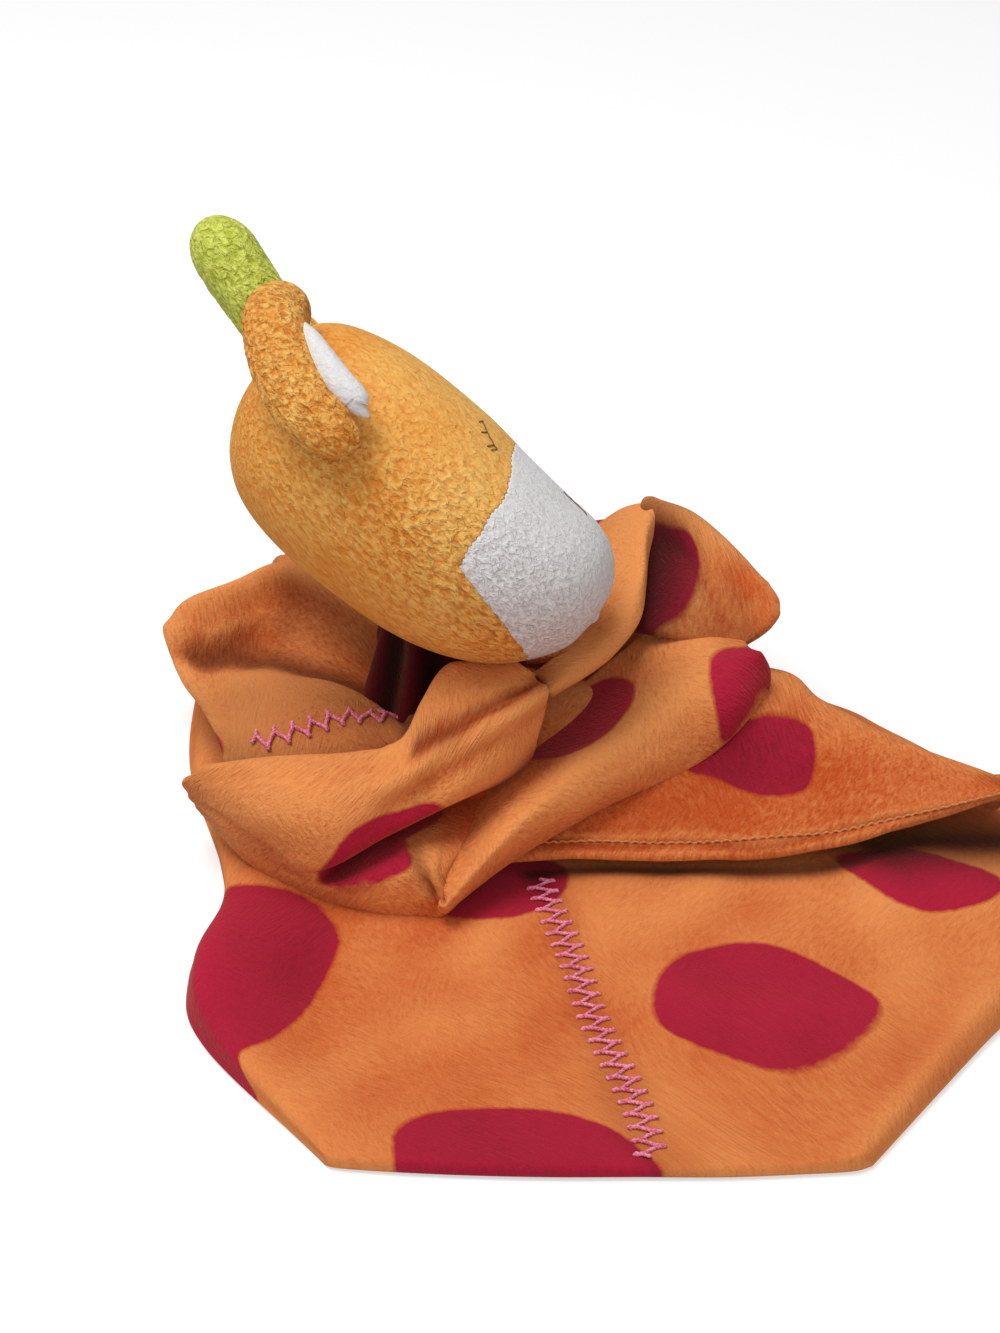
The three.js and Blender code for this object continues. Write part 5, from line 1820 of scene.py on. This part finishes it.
@dataclass(frozen=True)
class Ear:
    """A soft ear that hangs down the head's side, folded so that its white lining shows towards the face."""

    side: str
    mirror: int
    curl_size: float = 2.4 * MM
    curl_stretch: float = 0.4
    seed: int = 41
    end_roundness: int = 14
    size: tuple[int, int] = (150, 130)

    def leaf_rings(self, leaf: Leaf) -> tuple[Array, Array]:
        """The rings of one layer, and how full its plush is there.

        Places lie close together near both ends, and each ring's fullness is the root of 1 - |2 share - 1| to
        the power of the end's roundness.

        Args:
            leaf: The layer.

        Returns:
            Rings by sides of points, and one value for each.
        """
        count, sides = self.size
        share = crowded(count)
        full = np.clip(1 - np.abs(2 * share - 1) ** self.end_roundness, 0, 1) ** 0.5
        path = smooth_through(head_place(EAR_PATH), leaf.start_share + (1 - leaf.start_share) * share, 0)
        wide, deep = smooth_through(np.array(leaf.sizes), share, 0).T
        beside = unit(np.cross(ACROSS_HEAD, np.gradient(path, axis=0)))
        path = path + beside * (leaf.offset * np.sqrt(wide))[:, None]
        half_width, half_depth = wide * full * leaf.width / 2, deep * full * leaf.thickness / 2
        rings = rings_round(path, ACROSS_HEAD, half_width, half_depth, sides)
        curl = curls(rings, self.seed, self.curl_size, self.curl_stretch)
        return curled(rings, path, leaf.pile * full[:, None], curl), curl

    def build(self, wardrobe: Wardrobe) -> None:
        """Makes the ear's layers and lets their roots stay on the head.

        Args:
            wardrobe: Gives the plush.
        """
        for leaf in EAR_LEAVES:
            rings, curl = self.leaf_rings(leaf)
            # Painted light on the plush: paler on the brow's side, darker on the jaw's side
            values = {"shag": np.full(curl.shape, leaf.shag), "tint": lit(rings), "curl": curl}
            piece = closed_tubes(f"{self.side}_{leaf.piece}", [from_head(rings, self.mirror)], values)
            wardrobe.dress(piece, leaf.finish, f"{self.side}_{leaf.node}")
            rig.blend(piece, "head", f"{self.side}_ear", **root_band(EAR_PATH[0], EAR_PATH[1], self.mirror))
            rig.padded(piece, fill=leaf.fill)


@dataclass(frozen=True)
class Horn:
    """A stubby stuffed horn that swells a little towards its rounded top."""

    side: str
    mirror: int
    radius: float = 8.9 * MM
    length: float = 46.5 * MM
    wall: float = 1.6 * MM
    root_width_share: float = 0.86
    top_share: float = 1.3
    curl_size: float = 2.6 * MM
    curl_height: float = 0.22 * MM
    curl_stretch: float = 0.7
    shag: float = 0.6
    seed: int = 51
    cover_size: tuple[int, int] = (120, 90)
    filling_size: tuple[int, int] = (40, 40)
    flat: tuple[float, float] = (0.055, 0.05)
    fill: float = 0.8

    def rings(self, inwards: float, count: int, sides: int) -> tuple[Array, Array]:
        """Rings from root to top: the half width grows evenly from the root, then follows a quarter oval.

        Args:
            inwards: How far inside the skin.
            count: How many rings.
            sides: How many points in each.

        Returns:
            The rings and their middles.
        """
        radius, length = self.radius - inwards, self.length - inwards
        top = radius * self.top_share
        straight = length - top
        turn = np.linspace(0, math.pi / 2, count // 2)
        reach = np.concatenate([np.linspace(0, straight, count // 2 + 1)[:-1], straight + top * np.sin(turn)])
        swell = self.root_width_share + (1 - self.root_width_share) * np.clip(reach / straight, 0, 1)
        half = radius * swell * np.concatenate([np.ones(count // 2), np.cos(turn)])
        root, tip = head_place(HORN_ROOT), head_place(HORN_TIP)
        path = root + unit(tip - root) * reach[:, None]
        return rings_round(path, ACROSS_HEAD, half, half, sides), path

    def cover(self) -> bpy.types.Object:
        """Makes the plush tube, whose two walls meet at its root.

        Returns:
            The piece.
        """
        outer, path = self.rings(0.0, *self.cover_size)
        inner, _ = self.rings(self.wall, *self.cover_size)
        curl = curls(outer, self.seed, self.curl_size, self.curl_stretch)
        outer = curled(outer, path, self.curl_height, curl)
        rim = (outer[:1] + inner[:1]) / 2
        layers = [
            from_head(np.pad(np.concatenate([rim, wall]), ((0, 0), (0, 1), (0, 0)), mode="wrap"), self.mirror)
            for wall in (outer, inner)
        ]
        shag = np.full(layers[0].shape[:2], self.shag)
        # Painted light along the horn: darker at its root, paler at its top
        tint = np.broadcast_to(np.linspace(-1, 1, shag.shape[0])[:, None], shag.shape)
        values = {"shag": shag, "tint": tint, "curl": np.pad(curl, ((1, 0), (0, 1)), mode="edge")}
        return closed_sheet(f"{self.side}_horn_plush", *layers, None, values)

    def build(self, wardrobe: Wardrobe) -> None:
        """Makes the horn's cover and filling, and lets its root stay on the head.

        Args:
            wardrobe: Gives the plush and the filling.
        """
        cover = self.cover()
        stuffed, _ = self.rings(self.wall + SEAT_GAP, *self.filling_size)
        filling = closed_tubes(f"{self.side}_horn_filling", [from_head(stuffed, self.mirror)])
        band = root_band(HORN_ROOT, HORN_TIP, self.mirror)
        for piece, node, finish in (
            (cover, "cover", Finish.GREEN_PLUSH),
            (filling, "stuffing", Finish.FILLING),
        ):
            wardrobe.dress(piece, finish, f"{self.side}_horn_{node}")
            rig.blend(piece, "head", f"{self.side}_horn", **band)
        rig.sheet(cover, flat=self.flat, held="stretched", rests_on=[filling])
        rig.padded(filling, fill=self.fill)


@dataclass(frozen=True)
class Head:
    """The stuffed head: two orange panels, a white muzzle, its filling, embroidered face, ears and horns."""

    wardrobe: Wardrobe
    filling_size: tuple[int, int] = (90, 90)
    fill: float = 0.9

    def build(self) -> None:
        """Makes the head and everything on it."""
        self.filling()
        for side, sign in (("right", 1), ("left", -1)):
            for part in (
                HeadCover(f"{side}_head_cover", f"head_{side}_panel", Finish.HEAD_PLUSH, (0.11, 0.12), 0.0088,
                          sign),
                Ear(side, sign),
                Horn(side, sign),
                FaceStitch(f"{side}_eye", f"{side}_eye_stitching", (EYE, *LASHES), sign),
                FaceStitch(f"{side}_nostril", f"{side}_nostril_stitching", (NOSTRIL,), sign),
            ):
                part.build(self.wardrobe)
            log.info("%s side of the head", side)
        muzzle = HeadCover("muzzle", "muzzle_cover", Finish.WHITE_PLUSH, (0.09, 0.075), 0.0052,
                           size=(120, 260))
        muzzle.build(self.wardrobe)
        log.info("muzzle")

    def filling(self) -> None:
        """Makes the stuffing under the covers."""
        count, sides = self.filling_size
        along = np.linspace(-CAP_SHARE, 1 + CAP_SHARE, count)
        angle = np.linspace(0, 2 * math.pi, sides, endpoint=False)
        skin = head_skin(*np.meshgrid(along, angle, indexing="ij"), -HEAD_COVER_WALL - SEAT_GAP)
        piece = closed_tubes("head_filling", [from_head(skin)])
        self.wardrobe.dress(piece, Finish.FILLING, "head_stuffing", "head")
        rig.padded(piece, fill=self.fill)


# The studio

WHITE = (1.0, 1.0, 1.0, 1.0)


@dataclass(frozen=True)
class SoftBox:
    """A square lamp that points at the lovey."""

    name: str
    place: Place
    size: float
    power: float

    def build(self, target: Array) -> None:
        """Makes the lamp and turns it towards a place.

        Args:
            target: The place.
        """
        lamp = bpy.data.lights.new(self.name, "AREA")
        lamp.shape, lamp.size, lamp.energy = "SQUARE", self.size, self.power
        holder = bpy.data.objects.new(self.name, lamp)
        holder.location = self.place
        aim = Vector(target) - Vector(self.place)
        holder.rotation_euler = aim.to_track_quat("-Z", "Y").to_euler()
        bpy.context.scene.collection.objects.link(holder)


@dataclass(frozen=True)
class Studio:
    """A white floor under soft light, with the camera at the photograph's angle."""

    target: Place = (-28.41 * MM, 22.58 * MM, 45 * MM)
    distance: float = 720 * MM
    elevation: float = math.radians(33)
    sensor: float = 36
    lens: float = 71.95
    floor_side: float = 8.0
    floor_level: float = 0.6
    floor_glow: float = 0.5
    sky: tuple[float, float] = (0.1, 0.48)
    sky_rise: tuple[float, float] = (-0.1, 0.75)
    lamps: tuple[SoftBox, ...] = (
        SoftBox("key", (-0.4, 0.0, 1.1), 0.6, 8.6),
        SoftBox("fill", (0.1, -1.0, 0.35), 1.0, 3.4),
    )

    def build(self) -> None:
        """Makes the floor, the light and the camera."""
        self.floor()
        for lamp in self.lamps:
            lamp.build(np.array(self.target))
        self.world()
        self.camera()

    def floor(self) -> None:
        """Makes the floor, which the camera sees as near white apart from the lovey's shadow."""
        half = self.floor_side / 2
        corners = np.array([[-half, -half, 0], [half, -half, 0], [half, half, 0], [-half, half, 0]])
        floor = mesh_object("floor", corners, np.array([[0, 1, 2, 3]]), None, {})
        tree = FinishTree("floor")
        rays = tree.node("LightPath", {}).outputs
        seen = rays["Is Camera Ray"]
        for ray in ("Is Glossy Ray", "Is Transmission Ray"):
            seen = tree.node("Math", {0: seen, 1: rays[ray]}, operation="MAXIMUM").outputs[0]
        for key, value in (
            ("Base Color", (self.floor_level,) * 3 + (1.0,)),
            ("Roughness", 1.0),
            ("Specular IOR Level", 0.0),
            ("Emission Color", WHITE),
            ("Emission Strength", tree.product(seen, self.floor_glow)),
        ):
            tree.feed(tree.shader.inputs[key], value)
        floor.data.materials.append(tree.material)
        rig.stage(floor)

    def world(self) -> None:
        """Lights it all from above and less from the sides, and shows white past the floor."""
        world = bpy.data.worlds.new("studio")
        world.use_nodes = True
        nodes, links = world.node_tree.nodes, world.node_tree.links
        split = nodes.new("ShaderNodeSeparateXYZ")
        links.new(nodes.new("ShaderNodeTexCoord").outputs["Generated"], split.inputs[0])
        height = nodes.new("ShaderNodeMapRange")
        shown = nodes.new("ShaderNodeMapRange")
        for socket, level in zip(("From Min", "From Max", "To Min", "To Max"), (*self.sky_rise, *self.sky)):
            height.inputs[socket].default_value = level
        shown.inputs["To Max"].default_value = 1.0
        links.new(split.outputs["Z"], height.inputs["Value"])
        links.new(height.outputs["Result"], shown.inputs["To Min"])
        links.new(nodes.new("ShaderNodeLightPath").outputs["Is Camera Ray"], shown.inputs["Value"])
        back = nodes["Background"]
        back.inputs["Color"].default_value = WHITE
        links.new(shown.outputs["Result"], back.inputs["Strength"])
        bpy.context.scene.world = world

    def camera(self) -> None:
        """Sets the camera above the target by distance * sin(elevation), looking down by the elevation."""
        camera = bpy.data.cameras.new("camera")
        camera.sensor_fit, camera.sensor_height, camera.lens = "VERTICAL", self.sensor, self.lens
        camera.clip_start, camera.clip_end = 0.01, 20
        holder = bpy.data.objects.new("camera", camera)
        back = Vector((0, -math.cos(self.elevation), math.sin(self.elevation))) * self.distance
        holder.location = Vector(self.target) + back
        holder.rotation_euler = (math.pi / 2 - self.elevation, 0, 0)
        bpy.context.scene.collection.objects.link(holder)
        bpy.context.scene.camera = holder


def main() -> None:
    """Builds the lovey and its studio, and writes the model's box and this one's."""
    logging.basicConfig(level=logging.INFO, format="%(name)s: %(message)s")
    bpy.context.scene.view_settings.view_transform = "Standard"
    Studio().build()
    wardrobe = Wardrobe()
    Blanket(wardrobe).build()
    Head(wardrobe).build()
    corners = {"cad": CAD_BOX, "visual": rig.bounds()}
    with open(SIZE_FILE, "w", encoding="utf-8") as file:
        json.dump({key: [list(corner) for corner in box] for key, box in corners.items()}, file)


if __name__ == "__main__":
    main()
